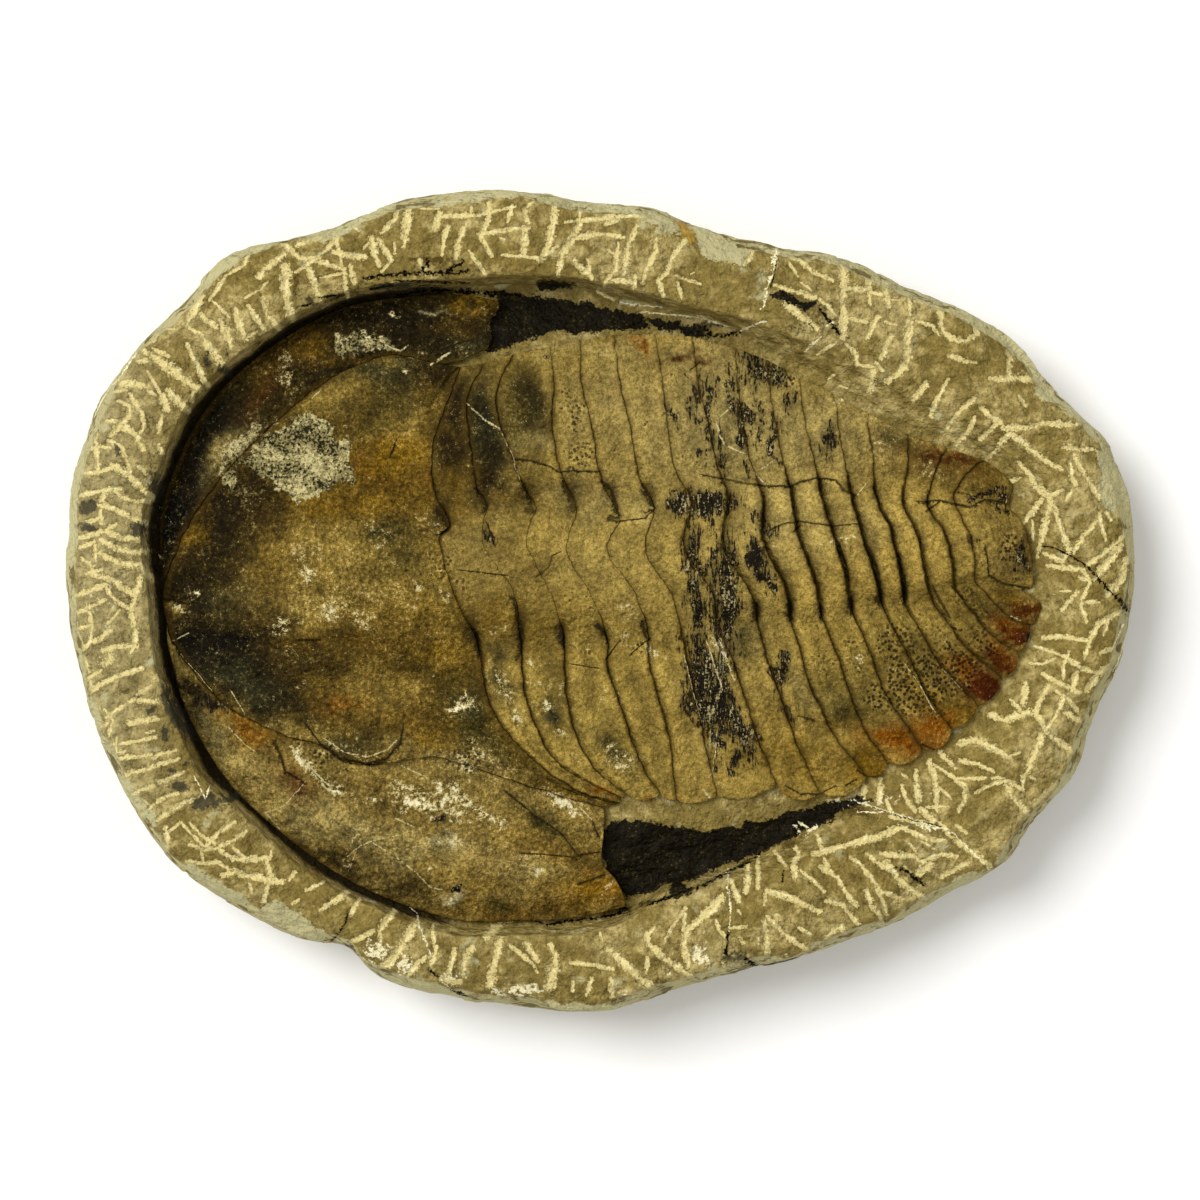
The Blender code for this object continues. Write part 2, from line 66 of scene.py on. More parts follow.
HOLLOW_OUTLINE = (
    (-133, 0), (-134, 28), (-130, 38), (-124, 53), (-113, 67), (-103, 75), (-88, 85), (-76, 90),
    (-59, 93), (-43, 94), (-30, 95), (-12, 95), (12, 90), (27, 86), (42, 81), (60, 72), (78, 61),
    (96, 52), (108, 48), (121, 41), (127, 30), (131, 18), (134, 0), (134, -8), (131, -14), (129, -20),
    (123, -31), (114, -40), (106, -46), (96, -51), (86, -55), (79, -61), (72, -64), (64, -70), (51, -76),
    (36, -81), (18, -86), (9, -93), (-3, -97), (-23, -98), (-43, -98), (-62, -92), (-79, -84), (-93, -74),
    (-106, -62), (-118, -51), (-124, -37), (-130, -21),
)
RIM_HEIGHT_HEAD, RIM_HEIGHT_TAIL = 38.5, 34.0
RIM_CROWN, RIM_FALL = 1.6, 1.0
RIM_LUMP, RIM_LUMP_SIZE = 1.5, 17
EDGE_CHIP_INSET, EDGE_CHIP_DROP, EDGE_CHIP_VARIES = 5.0, 4.5, 0.7
EDGE_BREAK_INSET = 1.75
WIDEST_HEIGHT, SIDE_LUMP = 24, 4.0
WAIST_HEIGHT, WAIST_INSET, WAIST_LUMP = 9, 4.0, 2.4
FOOT_INSET = 8.0
RIM_SEED, CHIP_SEED, SIDE_SEED = 37, 91, 53
# Flakes off the edge as (degrees round, half its width in degrees, depth); troughs have the first two.
EDGE_FLAKES = (
    (171, 13, 3.5), (111, 9, 3), (70, 8, 3.5), (29, 8, 4), (14, 6, 3), (222, 12, 4), (257, 11, 3),
    (318, 7, 3),
)
WALL_RUN_HEAD, WALL_RUN_TAIL = 2.0, 9.0
TAIL_STARTS, TAIL_ENDS = 20, 95
TROUGHS = ((86, 26), (-66, 27))
TROUGH_DEPTH, TROUGH_FLOOR = 2.5, 0.7
BED_CREST = 31
BED_FALL_SIDE, BED_HALF_WIDTH = 7.0, 95
BED_FALL_HEAD, BED_FALL_TAIL, BED_HALF_LENGTH = 6.0, 3.5, 130
ROCK_COLUMNS = 1120
BED_SHARES = (0.4, 0.68, *np.linspace(0.75, 1, 11))
TROUGH_RINGS, TROUGH_SHARES = (0.8, 0.93, 1), (0, 1, 0.6)
WALL_STEPS, WALL_BELLY, RIM_STEPS, SIDE_STEPS = 8, 0.08, 46, (5, 5, 6, 4)
# Layers of roughness as (height, size, octaves), and layers of broken faces as (height, size, seed).
HOLLOW_WAVER, HOLLOW_SEED = ((0.5, 9, 3),), 61
EDGE_NIBBLE, NIBBLE_SIZE, NIBBLE_SEED, NIBBLE_BIAS = 0.55, 11, 62, 0.3
ROCK_LUMPS, ROCK_SEED = ((0.4, 6.5, 2),), 71
ROCK_FACES = ((0.75, 9, 72), (0.35, 3.6, 76))
SIDE_FACES = ((1, 15, 73), (0.5, 6, 74))
SIDE_GRIT, GRIT_SEED = ((0.3, 4, 2),), 75
STAIN_WANDER, STAIN_SEED = ((1.2, 5, 2),), 64
# How strongly the bed, the wall, the rim and the side show this relief.
RELIEF_ON_PARTS = (0.35, 0.8, 1.0, 1.0)
RELIEF_FADES = 2.5
SIDE_LAYERING, SIDE_BITE, BITE_BIAS = 1.8, 1.5, 0.8
BITE_STARTS, BITE_DROPS, SIDE_BEGINS = (0.5, 4), (0, 4), (0, 3)
WIDEST_SPAN, WIDEST_SMOOTHER = 6.0, 0.75
BOX_MARGIN, BOX_SOFTNESS = 0.03, 1
# Where the painted shade on the wall and bed fades out towards the tail, where the stone turns paler at
# the head, and the depth given to the middle of the bed.
SHADED_WALL_ENDS, PALE_HEAD_ENDS = (-25, -60), (-120, -150)
SUNK_MIDDLE, UNDER_SHARE = 9, 0.5
# Marks read off the photograph, in its pixels: where the picture's middle lies, and how many
# millimetres a pixel spans. Chisel strokes stand in chains: the place where a chain starts and then, for
# each stroke, the place where it ends, which is where the next one starts, and its width.
PHOTO_MIDDLE, PHOTO_PIXEL = (600.0, 600.5), 0.3
CHISEL_STROKES = (
    (252, 248, 246, 266, 6), (246, 267, 228, 277, 3, 212, 302, 4), (193, 288, 201, 299, 5),
    (204, 298, 188, 326, 7), (181, 301, 198, 305, 3), (215, 303, 232, 319, 3), (203, 316, 218, 329, 6),
    (223, 322, 233, 347, 8), (238, 312, 247, 340, 7, 259, 333, 3), (251, 308, 266, 331, 5),
    (265, 300, 270, 318, 6, 279, 328, 7), (287, 268, 288, 295, 10, 293, 319, 9), (285, 255, 260, 279, 7),
    (281, 243, 300, 259, 6), (270, 284, 262, 292, 2.5, 247, 300, 2.5), (163, 330, 180, 331, 2.5),
    (162, 326, 156, 341, 4, 144, 348, 5), (140, 348, 158, 360, 6, 200, 390, 9), (155, 350, 173, 358, 4),
    (190, 346, 200, 368, 4), (198, 362, 209, 386, 6), (192, 330, 206, 337, 5), (205, 339, 224, 366, 8),
    (117, 384, 150, 387, 7), (112, 393, 130, 391, 3), (133, 395, 146, 417, 5), (150, 372, 163, 395, 3),
    (172, 393, 190, 411, 8), (165, 398, 170, 410, 8), (196, 392, 193, 402, 4), (140, 353, 120, 380, 2),
    (112, 388, 95, 417, 2), (140, 362, 152, 362, 5), (150, 392, 158, 396, 4), (171, 310, 167, 320, 2),
    (301, 260, 322, 259, 5), (337, 243, 321, 258, 5, 298, 274, 4),
    (331, 226, 338, 241, 8, 343, 262, 4, 343, 272, 3), (299, 247, 322, 238, 7), (336, 255, 366, 260, 6),
    (313, 262, 346, 271, 5), (346, 272, 348, 300, 4), (308, 263, 314, 280, 7, 321, 300, 7),
    (322, 280, 346, 275, 3), (352, 268, 356, 285, 6), (373, 240, 376, 256, 7, 381, 268, 5),
    (380, 241, 392, 262, 5), (396, 244, 396, 256, 3), (353, 227, 360, 233, 3), (365, 251, 370, 245, 3),
    (398, 212, 397, 220, 5, 383, 236, 5), (409, 212, 406, 240, 9, 405, 249, 5), (420, 262, 424, 272, 5),
    (441, 215, 435, 231, 7), (442, 218, 480, 217, 5, 500, 212, 4, 516, 209, 3), (421, 210, 440, 210, 2),
    (449, 229, 445, 240, 6, 443, 257, 4), (467, 225, 460, 243, 6, 457, 260, 7), (472, 208, 472, 214, 4),
    (490, 204, 489, 222, 6, 483, 236, 6), (480, 236, 486, 246, 5, 492, 258, 5), (513, 208, 508, 224, 4),
    (484, 236, 519, 231, 5), (505, 242, 500, 240, 3), (470, 253, 486, 276, 4), (383, 274, 394, 262, 3),
    (525, 211, 528, 226, 5), (525, 210, 534, 204, 3), (519, 231, 529, 230, 5), (526, 232, 524, 255, 8),
    (556, 205, 553, 228, 8, 549, 248, 8, 540, 262, 7), (502, 257, 545, 261, 3), (558, 248, 548, 256, 4),
    (579, 207, 580, 222, 4), (581, 224, 572, 242, 7, 563, 256, 9, 558, 276, 6),
    (582, 223, 625, 218, 5, 652, 218, 4), (565, 225, 582, 222, 3), (577, 240, 600, 236, 6, 624, 240, 4),
    (605, 227, 618, 222, 4), (588, 262, 590, 276, 4), (573, 262, 592, 280, 6),
    (618, 246, 617, 256, 4, 615, 272, 6, 604, 286, 4), (637, 228, 628, 248, 5, 624, 276, 6),
    (656, 240, 655, 255, 5, 645, 272, 7, 643, 284, 5),
    (685, 241, 670, 262, 5, 667, 275, 5, 658, 282, 5, 663, 298, 5), (612, 282, 632, 284, 5),
    (634, 278, 634, 288, 6), (608, 252, 614, 256, 4), (675, 278, 700, 286, 3), (690, 276, 694, 274, 2),
    (677, 285, 681, 300, 4), (597, 290, 614, 298, 3), (749, 243, 752, 256, 6, 744, 266, 5),
    (785, 257, 800, 262, 4, 812, 274, 6, 832, 282, 4), (787, 262, 797, 278, 3), (800, 284, 810, 292, 3),
    (773, 287, 797, 294, 4, 818, 301, 5, 828, 309, 4, 834, 317, 3), (785, 306, 800, 318, 8, 816, 330, 7),
    (842, 262, 843, 290, 9), (842, 290, 841, 310, 6), (842, 310, 843, 338, 8),
    (866, 272, 868, 290, 6, 869, 305, 4), (848, 290, 868, 291, 6), (868, 293, 880, 296, 4),
    (884, 281, 886, 296, 8), (885, 296, 888, 307, 6), (880, 300, 898, 301, 2), (915, 301, 927, 304, 6),
    (908, 300, 909, 318, 4), (846, 319, 866, 323, 4), (877, 318, 866, 338, 6), (884, 323, 895, 326, 3),
    (908, 322, 906, 345, 9, 906, 362, 9, 898, 374, 9, 886, 382, 7), (915, 322, 930, 326, 4, 938, 336, 4),
    (890, 336, 880, 360, 5), (872, 372, 870, 390, 7), (875, 363, 882, 372, 4),
    (853, 350, 857, 365, 6, 874, 368, 3), (845, 345, 852, 352, 3), (817, 355, 835, 343, 3),
    (828, 378, 834, 375, 3), (840, 385, 848, 388, 2), (780, 402, 786, 400, 3),
    (934, 298, 940, 315, 8, 941, 332, 6, 950, 340, 6, 965, 342, 6, 977, 334, 5, 975, 326, 6),
    (958, 315, 966, 320, 5), (948, 357, 965, 362, 6, 975, 363, 3), (925, 384, 913, 400, 7),
    (947, 380, 937, 398, 4, 930, 416, 5), (973, 400, 955, 415, 6, 947, 429, 6),
    (974, 418, 968, 432, 5, 957, 444, 6), (980, 408, 990, 418, 5, 1000, 423, 6), (998, 423, 980, 439, 5),
    (1003, 428, 1025, 428, 8, 1042, 424, 6, 1070, 425, 6, 1082, 424, 3),
    (1008, 434, 1000, 444, 6, 992, 456, 4), (1012, 436, 1030, 450, 7, 1045, 462, 6, 1060, 470, 5),
    (1010, 350, 1012, 358, 8), (1010, 358, 1008, 376, 6), (990, 380, 1020, 378, 7, 1048, 378, 9),
    (1018, 396, 1024, 406, 5), (1062, 447, 1078, 450, 6, 1092, 449, 4),
    (1072, 455, 1083, 475, 5, 1098, 498, 5), (1068, 462, 1070, 480, 5), (1072, 480, 1074, 488, 6),
    (1072, 488, 1064, 500, 4), (1018, 462, 1030, 475, 4, 1036, 487, 6, 1050, 497, 8),
    (1050, 496, 1060, 490, 5), (1003, 484, 1020, 478, 4), (1104, 512, 1109, 520, 4),
    (1042, 500, 1030, 515, 6, 1022, 526, 4), (1050, 500, 1046, 520, 7, 1042, 540, 7, 1038, 558, 4),
    (1053, 505, 1057, 520, 4, 1062, 535, 5, 1068, 550, 7), (1033, 520, 1034, 540, 3),
    (1098, 514, 1098, 522, 5), (1095, 522, 1082, 535, 5, 1072, 552, 5), (1068, 552, 1062, 562, 6),
    (1098, 522, 1104, 540, 4), (1128, 530, 1115, 543, 5, 1100, 555, 6, 1085, 565, 5),
    (1120, 545, 1108, 560, 8, 1094, 578, 8), (1126, 560, 1120, 580, 11, 1106, 594, 9),
    (1048, 565, 1062, 568, 5, 1078, 569, 6), (1080, 569, 1088, 580, 5),
    (1078, 577, 1088, 582, 5, 1084, 590, 5, 1079, 605, 5, 1085, 622, 4), (1045, 553, 1058, 560, 5),
    (1076, 592, 1062, 610, 5), (1084, 602, 1097, 602, 4), (1060, 591, 1070, 591, 2.5),
    (1125, 610, 1108, 617, 5, 1094, 626, 6, 1088, 640, 6, 1082, 658, 4), (1106, 622, 1102, 634, 4),
    (1125, 615, 1132, 612, 6), (1043, 638, 1060, 636, 5, 1075, 639, 6, 1088, 641, 4),
    (1035, 646, 1058, 654, 3, 1066, 658, 3, 1080, 668, 5, 1095, 672, 6),
    (1068, 652, 1062, 665, 5, 1062, 678, 4), (1030, 663, 1042, 664, 3, 1055, 658, 3),
    (1112, 665, 1100, 672, 9, 1085, 690, 8), (1118, 645, 1098, 653, 4),
    (1043, 674, 1056, 682, 5, 1070, 688, 6, 1076, 692, 6), (1075, 672, 1070, 690, 6),
    (1115, 650, 1112, 668, 7), (1026, 683, 1023, 705, 6), (1012, 700, 1020, 710, 5),
    (1048, 685, 1040, 700, 5, 1034, 712, 6), (1062, 695, 1056, 712, 6, 1045, 728, 5),
    (1066, 698, 1076, 710, 5), (1054, 690, 1060, 695, 3), (1090, 710, 1104, 702, 8),
    (1064, 712, 1080, 722, 6, 1094, 731, 5), (990, 715, 1005, 720, 7, 1030, 712, 7),
    (996, 675, 1002, 682, 3), (1034, 712, 1046, 732, 6),
    (1040, 735, 1034, 750, 8, 1026, 770, 7, 1021, 780, 5),
    (1048, 735, 1058, 742, 5, 1070, 750, 7, 1080, 760, 5),
    (960, 744, 978, 740, 7, 992, 748, 9, 1008, 757, 6), (1008, 755, 1018, 752, 3),
    (940, 752, 948, 760, 6, 955, 768, 5), (960, 761, 978, 764, 5, 992, 771, 4),
    (935, 765, 945, 772, 4, 955, 778, 4, 985, 777, 4), (955, 780, 965, 786, 5, 963, 800, 6),
    (962, 800, 957, 810, 5), (990, 777, 1003, 778, 4),
    (974, 792, 990, 783, 4, 1005, 780, 4, 1015, 785, 5, 1021, 789, 5), (1020, 775, 1022, 790, 3),
    (1005, 785, 1010, 795, 7, 1020, 805, 7, 1030, 818, 7), (1028, 776, 1034, 779, 3),
    (1056, 783, 1045, 793, 7, 1033, 805, 7), (930, 762, 935, 780, 6, 935, 800, 6, 936, 810, 4),
    (917, 770, 916, 785, 4, 917, 800, 7), (902, 785, 906, 800, 4, 914, 810, 5), (903, 774, 907, 778, 3),
    (938, 786, 950, 798, 3), (925, 806, 947, 806, 3), (886, 800, 891, 813, 4), (920, 808, 932, 820, 7),
    (890, 815, 912, 820, 6, 925, 822, 5), (938, 822, 950, 836, 5), (955, 824, 965, 832, 5),
    (880, 834, 896, 828, 8), (900, 826, 925, 838, 5, 945, 840, 5),
    (955, 840, 970, 850, 7, 980, 858, 7, 992, 868, 5), (905, 840, 915, 850, 3), (920, 840, 933, 848, 3),
    (880, 853, 912, 855, 6), (922, 860, 940, 853, 5, 955, 856, 5), (912, 855, 922, 862, 4),
    (884, 860, 896, 876, 6, 910, 890, 7, 928, 900, 6), (903, 865, 910, 872, 3), (918, 873, 930, 864, 9),
    (940, 877, 955, 868, 6, 968, 862, 6), (882, 891, 903, 899, 4), (882, 900, 885, 912, 5),
    (865, 786, 863, 802, 6), (882, 780, 879, 803, 6), (888, 803, 891, 813, 3),
    (812, 854, 850, 843, 5, 880, 834, 7), (818, 836, 822, 850, 5),
    (796, 849, 799, 855, 6, 793, 860, 5, 794, 876, 7), (866, 852, 874, 860, 5, 886, 867, 5, 895, 874, 4),
    (850, 856, 862, 866, 5, 873, 882, 5, 881, 892, 5), (874, 886, 881, 898, 4, 886, 914, 4),
    (865, 889, 870, 903, 6, 878, 913, 6, 882, 920, 5), (823, 858, 827, 865, 5),
    (820, 865, 836, 876, 6, 844, 890, 6, 855, 904, 5), (799, 869, 812, 879, 4, 823, 890, 4),
    (766, 889, 788, 895, 7, 802, 902, 7, 818, 910, 6), (825, 899, 841, 903, 5, 849, 913, 5, 857, 922, 5),
    (766, 915, 780, 929, 5, 796, 942, 6, 812, 952, 5), (763, 919, 766, 934, 6, 766, 951, 6),
    (774, 913, 777, 913, 5), (825, 937, 838, 924, 6, 844, 932, 7, 857, 940, 6), (798, 926, 809, 932, 4),
    (729, 926, 745, 924, 4), (715, 918, 718, 927, 4, 726, 936, 4), (700, 914, 710, 905, 6, 721, 895, 7),
    (748, 866, 745, 890, 6), (758, 857, 757, 887, 4), (730, 879, 738, 900, 5), (764, 892, 763, 903, 4),
    (737, 908, 739, 912, 3), (738, 935, 743, 941, 4), (775, 852, 785, 865, 4), (785, 953, 790, 959, 4),
    (722, 960, 724, 966, 4), (501, 939, 495, 960, 8, 490, 984, 9), (509, 942, 534, 962, 4),
    (526, 941, 538, 958, 6), (534, 962, 538, 970, 3), (550, 942, 557, 954, 6), (556, 954, 554, 968, 7),
    (553, 966, 550, 985, 12), (570, 960, 592, 962, 4, 613, 967, 4), (608, 947, 640, 976, 8, 661, 995, 8),
    (646, 931, 648, 942, 6, 666, 957, 7, 682, 968, 7, 698, 981, 6), (654, 925, 646, 934, 4),
    (647, 954, 646, 970, 5), (720, 898, 704, 915, 8, 688, 926, 7, 683, 941, 8, 686, 957, 8),
    (687, 952, 688, 966, 5), (685, 906, 675, 920, 4, 664, 938, 4), (684, 912, 683, 928, 4),
    (600, 930, 602, 938, 3), (573, 979, 573, 989, 4), (592, 976, 587, 992, 5), (611, 976, 613, 994, 6),
    (504, 924, 523, 920, 3), (487, 935, 500, 925, 8), (308, 889, 324, 881, 4),
    (321, 909, 335, 899, 4, 350, 890, 7), (294, 902, 300, 898, 4), (297, 870, 291, 878, 4),
    (352, 941, 375, 928, 5), (360, 899, 352, 912, 5), (396, 909, 382, 926, 7, 382, 939, 5),
    (415, 923, 404, 941, 9, 395, 957, 9, 382, 968, 9), (433, 925, 436, 944, 4), (438, 944, 432, 965, 5),
    (428, 954, 420, 960, 6, 409, 974, 6), (408, 976, 409, 982, 4), (456, 947, 449, 973, 5),
    (473, 944, 465, 960, 8, 464, 974, 6), (443, 976, 459, 980, 9), (66, 706, 84, 700, 4),
    (90, 693, 108, 681, 5), (140, 694, 154, 685, 4), (109, 717, 128, 704, 5, 140, 698, 5),
    (141, 699, 160, 701, 6), (108, 709, 116, 720, 4, 111, 736, 4), (95, 733, 111, 722, 4),
    (132, 722, 160, 718, 6), (98, 745, 108, 746, 4, 119, 742, 4), (119, 736, 119, 771, 2.5),
    (122, 743, 140, 740, 4, 159, 736, 4), (149, 732, 157, 730, 3), (103, 758, 116, 754, 6, 127, 750, 5),
    (120, 758, 138, 755, 5, 154, 754, 5), (156, 758, 160, 754, 5, 178, 749, 5),
    (119, 779, 135, 771, 5, 146, 769, 5, 162, 763, 5, 181, 758, 4), (162, 781, 172, 778, 5, 186, 770, 5),
    (132, 795, 143, 789, 4, 157, 784, 4), (159, 801, 168, 795, 5, 180, 792, 5),
    (160, 819, 175, 808, 5, 186, 802, 5, 196, 798, 5), (144, 798, 156, 806, 2), (151, 808, 156, 803, 4),
    (168, 826, 170, 845, 5), (172, 830, 183, 821, 3), (184, 821, 194, 832, 3, 208, 846, 3),
    (192, 821, 202, 832, 3, 218, 842, 4), (237, 821, 223, 829, 5, 208, 845, 4),
    (192, 843, 208, 848, 4, 221, 846, 4, 236, 838, 4, 248, 830, 5), (204, 848, 205, 861, 3),
    (188, 860, 205, 862, 4, 220, 861, 4), (223, 848, 234, 856, 5, 250, 858, 6, 269, 856, 7),
    (236, 846, 247, 856, 4), (269, 858, 274, 877, 7), (273, 850, 272, 858, 3),
    (224, 874, 237, 870, 6, 250, 874, 7, 284, 880, 7), (218, 859, 229, 866, 4), (252, 882, 253, 891, 4),
    (271, 883, 264, 901, 5), (101, 505, 119, 510, 6, 138, 519, 6, 153, 527, 6), (81, 526, 103, 518, 4),
    (103, 511, 105, 524, 5), (81, 538, 101, 534, 6, 110, 530, 5, 119, 524, 5),
    (109, 532, 124, 538, 6, 140, 538, 6), (82, 548, 97, 542, 5),
    (103, 540, 122, 550, 6, 140, 553, 6, 151, 550, 6), (98, 545, 98, 561, 4),
    (103, 553, 119, 562, 7, 140, 566, 7), (84, 559, 92, 564, 5, 97, 574, 5), (87, 574, 105, 570, 5),
    (95, 575, 111, 578, 5, 124, 586, 7, 137, 596, 7), (77, 596, 92, 591, 6, 108, 585, 6),
    (108, 586, 114, 596, 4, 132, 609, 4), (143, 577, 138, 599, 6, 133, 612, 6),
    (143, 564, 146, 570, 6, 156, 583, 6), (87, 610, 98, 604, 4, 109, 599, 4),
    (71, 620, 79, 612, 6, 89, 610, 5), (92, 612, 95, 628, 5, 93, 641, 5),
    (68, 630, 82, 628, 5, 93, 625, 5), (97, 641, 114, 630, 6), (111, 623, 116, 618, 4, 122, 610, 4),
    (135, 615, 138, 628, 6, 138, 644, 6, 133, 652, 5), (106, 650, 122, 646, 6, 140, 646, 6),
    (69, 657, 92, 644, 5), (82, 636, 85, 654, 5, 92, 671, 5), (108, 661, 114, 657, 12),
    (79, 687, 90, 678, 5, 103, 670, 5), (92, 679, 93, 686, 4),
    (84, 695, 101, 684, 5, 125, 674, 5, 145, 668, 5), (146, 417, 147, 428, 5, 143, 434, 4),
    (165, 417, 161, 434, 4), (121, 402, 132, 407, 4, 133, 417, 5), (132, 417, 122, 426, 7, 114, 436, 7),
    (122, 426, 138, 434, 7, 146, 450, 7), (109, 422, 122, 422, 5),
    (111, 442, 124, 447, 5, 130, 462, 6, 133, 473, 5), (89, 431, 97, 428, 5, 98, 442, 5, 100, 465, 5),
    (87, 450, 101, 447, 4, 113, 449, 4), (84, 474, 101, 473, 4, 116, 468, 4), (100, 465, 101, 473, 7),
    (116, 466, 132, 476, 7, 145, 489, 7, 153, 497, 6), (140, 466, 149, 474, 4), (161, 446, 165, 454, 5),
    (81, 496, 100, 492, 5, 124, 489, 5), (116, 489, 125, 498, 5, 140, 502, 5, 157, 500, 5),
    (109, 492, 103, 502, 6),
)
# Fresh pale breaks along the edge, and the black hollows that the spines left.
FRESH_BREAKS = (
    ((315, 238), (345, 224), (372, 205), (395, 199), (398, 206), (375, 216), (352, 232), (322, 246)),
    ((432, 204), (462, 194), (490, 190), (520, 191), (520, 199), (492, 200), (462, 205), (436, 211)),
    ((575, 201), (610, 203), (650, 213), (664, 220), (655, 226), (640, 219), (606, 212), (576, 209)),
    ((655, 222), (672, 222), (680, 235), (655, 235)),
    ((693, 222), (718, 232), (738, 246), (752, 250), (745, 268), (728, 266), (706, 262), (696, 245)),
    ((968, 312), (978, 313), (990, 322), (978, 330), (965, 322)),
    ((1000, 330), (1018, 338), (1035, 355), (1047, 370), (1052, 382), (1035, 380), (1028, 364),
     (1012, 350)),
    ((1035, 386), (1052, 387), (1064, 402), (1042, 404), (1034, 395)),
    ((1062, 403), (1082, 411), (1099, 440), (1086, 433), (1078, 420), (1065, 415)),
    ((1095, 450), (1112, 454), (1130, 486), (1132, 502), (1104, 512), (1094, 495), (1099, 475)),
    ((1123, 528), (1139, 526), (1139, 566), (1126, 560)),
    ((952, 880), (965, 873), (985, 870), (975, 886), (955, 896)),
    ((920, 898), (945, 891), (950, 898), (925, 915)),
    ((1058, 780), (1078, 762), (1086, 775), (1070, 792), (1054, 806)),
    ((235, 250), (262, 238), (280, 238), (258, 252), (234, 268), (208, 288), (196, 286), (214, 266)),
    ((128, 350), (140, 338), (146, 346), (130, 362), (112, 390), (100, 396), (112, 368)),
    ((70, 440), (88, 436), (88, 450), (80, 484), (78, 520), (80, 540), (72, 562), (60, 580), (60, 500)),
    ((118, 770), (135, 782), (158, 812), (160, 828), (140, 812), (118, 790)),
    ((186, 858), (203, 868), (222, 882), (252, 902), (240, 908), (212, 890), (190, 874)),
    ((262, 902), (284, 900), (304, 914), (330, 934), (318, 942), (290, 932), (262, 916)),
    ((380, 970), (410, 976), (440, 984), (470, 992), (470, 1002), (430, 998), (392, 984)),
    ((545, 1000), (600, 1002), (632, 1004), (630, 1014), (590, 1014), (548, 1008)),
    ((812, 952), (850, 940), (880, 918), (888, 926), (860, 946), (815, 962)),
)
BLACK_HOLLOWS = (
    ((497, 289), (530, 294), (560, 298), (590, 302), (620, 308), (650, 316), (680, 320), (702, 325),
     (712, 338), (700, 337), (680, 331), (650, 327), (620, 329), (580, 331), (545, 333), (520, 341),
     (500, 349), (486, 354)),
    ((597, 823), (640, 819), (700, 832), (760, 822), (800, 810), (850, 798), (872, 799), (848, 812),
     (815, 829), (795, 838), (770, 850), (720, 870), (660, 888), (625, 902), (612, 880), (600, 850)),
    ((770, 297), (783, 293), (800, 301), (817, 305), (815, 311), (803, 313), (785, 303)),
    ((540, 281), (555, 279), (572, 283), (560, 288), (530, 291)),
    ((670, 879), (690, 884), (697, 889), (686, 894), (672, 892)),
)
# Soft patches as (x, y, radius along, radius across, turn in degrees, strength). The sooty ones are
# slate-grey stains that also stand for painted shade along the hollow's wall and beside the troughs; the
# white ones are limy bloom.
SOOT_AND_SHADE_PATCHES = (
    (208, 362, 8, 14, 20, 0.8), (225, 372, 10, 6, -35, 0.8), (310, 302, 16, 6, -40, 0.7),
    (89, 507, 11, 7, 10, 1.2), (91, 528, 10, 5, -10, 1.1), (140, 530, 9, 10, 0, 0.9),
    (120, 452, 4, 8, 10, 0.8), (156, 710, 6, 6, 0, 0.9), (168, 732, 5, 11, 15, 1.2),
    (175, 768, 7, 4, 0, 1.1), (186, 764, 5, 4, 0, 1), (184, 786, 10, 6, 0, 1.3),
    (208, 801, 18, 7, 12, 1.4), (205, 824, 5, 4, 0, 0.8), (160, 600, 4, 40, 0, 0.8),
    (158, 500, 6, 46, 4, 0.9), (232, 798, 16, 6, 45, 1), (176, 712, 6, 30, 25, 1.3),
    (800, 330, 20, 12, 20, 0.55), (735, 955, 20, 8, 20, 0.8), (350, 948, 5, 12, 20, 0.7),
    (640, 985, 30, 6, -10, 0.3), (880, 930, 16, 5, -30, 0.5), (700, 326, 34, 5, 8, 0.8),
    (405, 288, 46, 5, -2, 0.9), (565, 285, 30, 3, 3, 0.6), (640, 300, 60, 7, 6, 0.35),
)
WHITE_PATCHES = (
    (380, 950, 18, 16, -20, 0.9), (405, 962, 12, 12, 0, 0.8), (524, 988, 22, 8, 0, 1),
    (452, 976, 10, 8, 0, 0.7), (698, 952, 9, 12, 0, 1), (668, 972, 8, 8, 0, 0.6),
    (705, 958, 12, 9, 0, 0.7), (757, 940, 9, 8, 0, 0.5), (622, 990, 18, 6, -20, 0.6),
    (880, 800, 60, 5, 8, 0.5), (845, 802, 18, 6, -5, 0.9), (500, 990, 14, 7, 0, 0.7),
    (100, 600, 26, 60, 0, 0.3), (860, 924, 10, 5, -20, 0.5),
)
# Painted shade, a dark umber, on shadowed ledges, along the hollow's wall and by the troughs.
LEDGE_SHADE_PATCHES = (
    (128, 460, 5, 16, -20, 0.8), (150, 425, 6, 16, 0, 0.7), (122, 572, 4, 12, -35, 0.9),
    (128, 597, 12, 4, 0, 0.8), (128, 690, 8, 4, 20, 0.7), (140, 697, 5, 5, 0, 0.8),
    (185, 372, 12, 12, 0, 0.5), (230, 355, 8, 10, 0, 0.5), (262, 345, 10, 9, 0, 0.5),
    (430, 262, 40, 5, 0, 0.7), (355, 292, 18, 6, -20, 0.6), (165, 620, 6, 20, 5, 0.8),
    (820, 320, 22, 12, 20, 0.5), (918, 878, 20, 5, 40, 0.7), (730, 905, 6, 12, 0, 0.5),
    (660, 985, 14, 10, -20, 0.6), (1060, 545, 12, 10, 0, 0.4), (975, 430, 10, 12, 0, 0.3),
    (850, 810, 26, 8, -8, 0.9), (790, 845, 12, 10, -30, 0.7), (560, 910, 60, 8, -4, 0.5),
    (240, 850, 40, 6, 38, 0.3), (180, 690, 12, 30, 20, 0.9), (125, 500, 20, 30, 0, 0.25),
)
OCHRE_PATCH = ((672, 220), (683, 221), (692, 232), (696, 240), (692, 250), (680, 235))
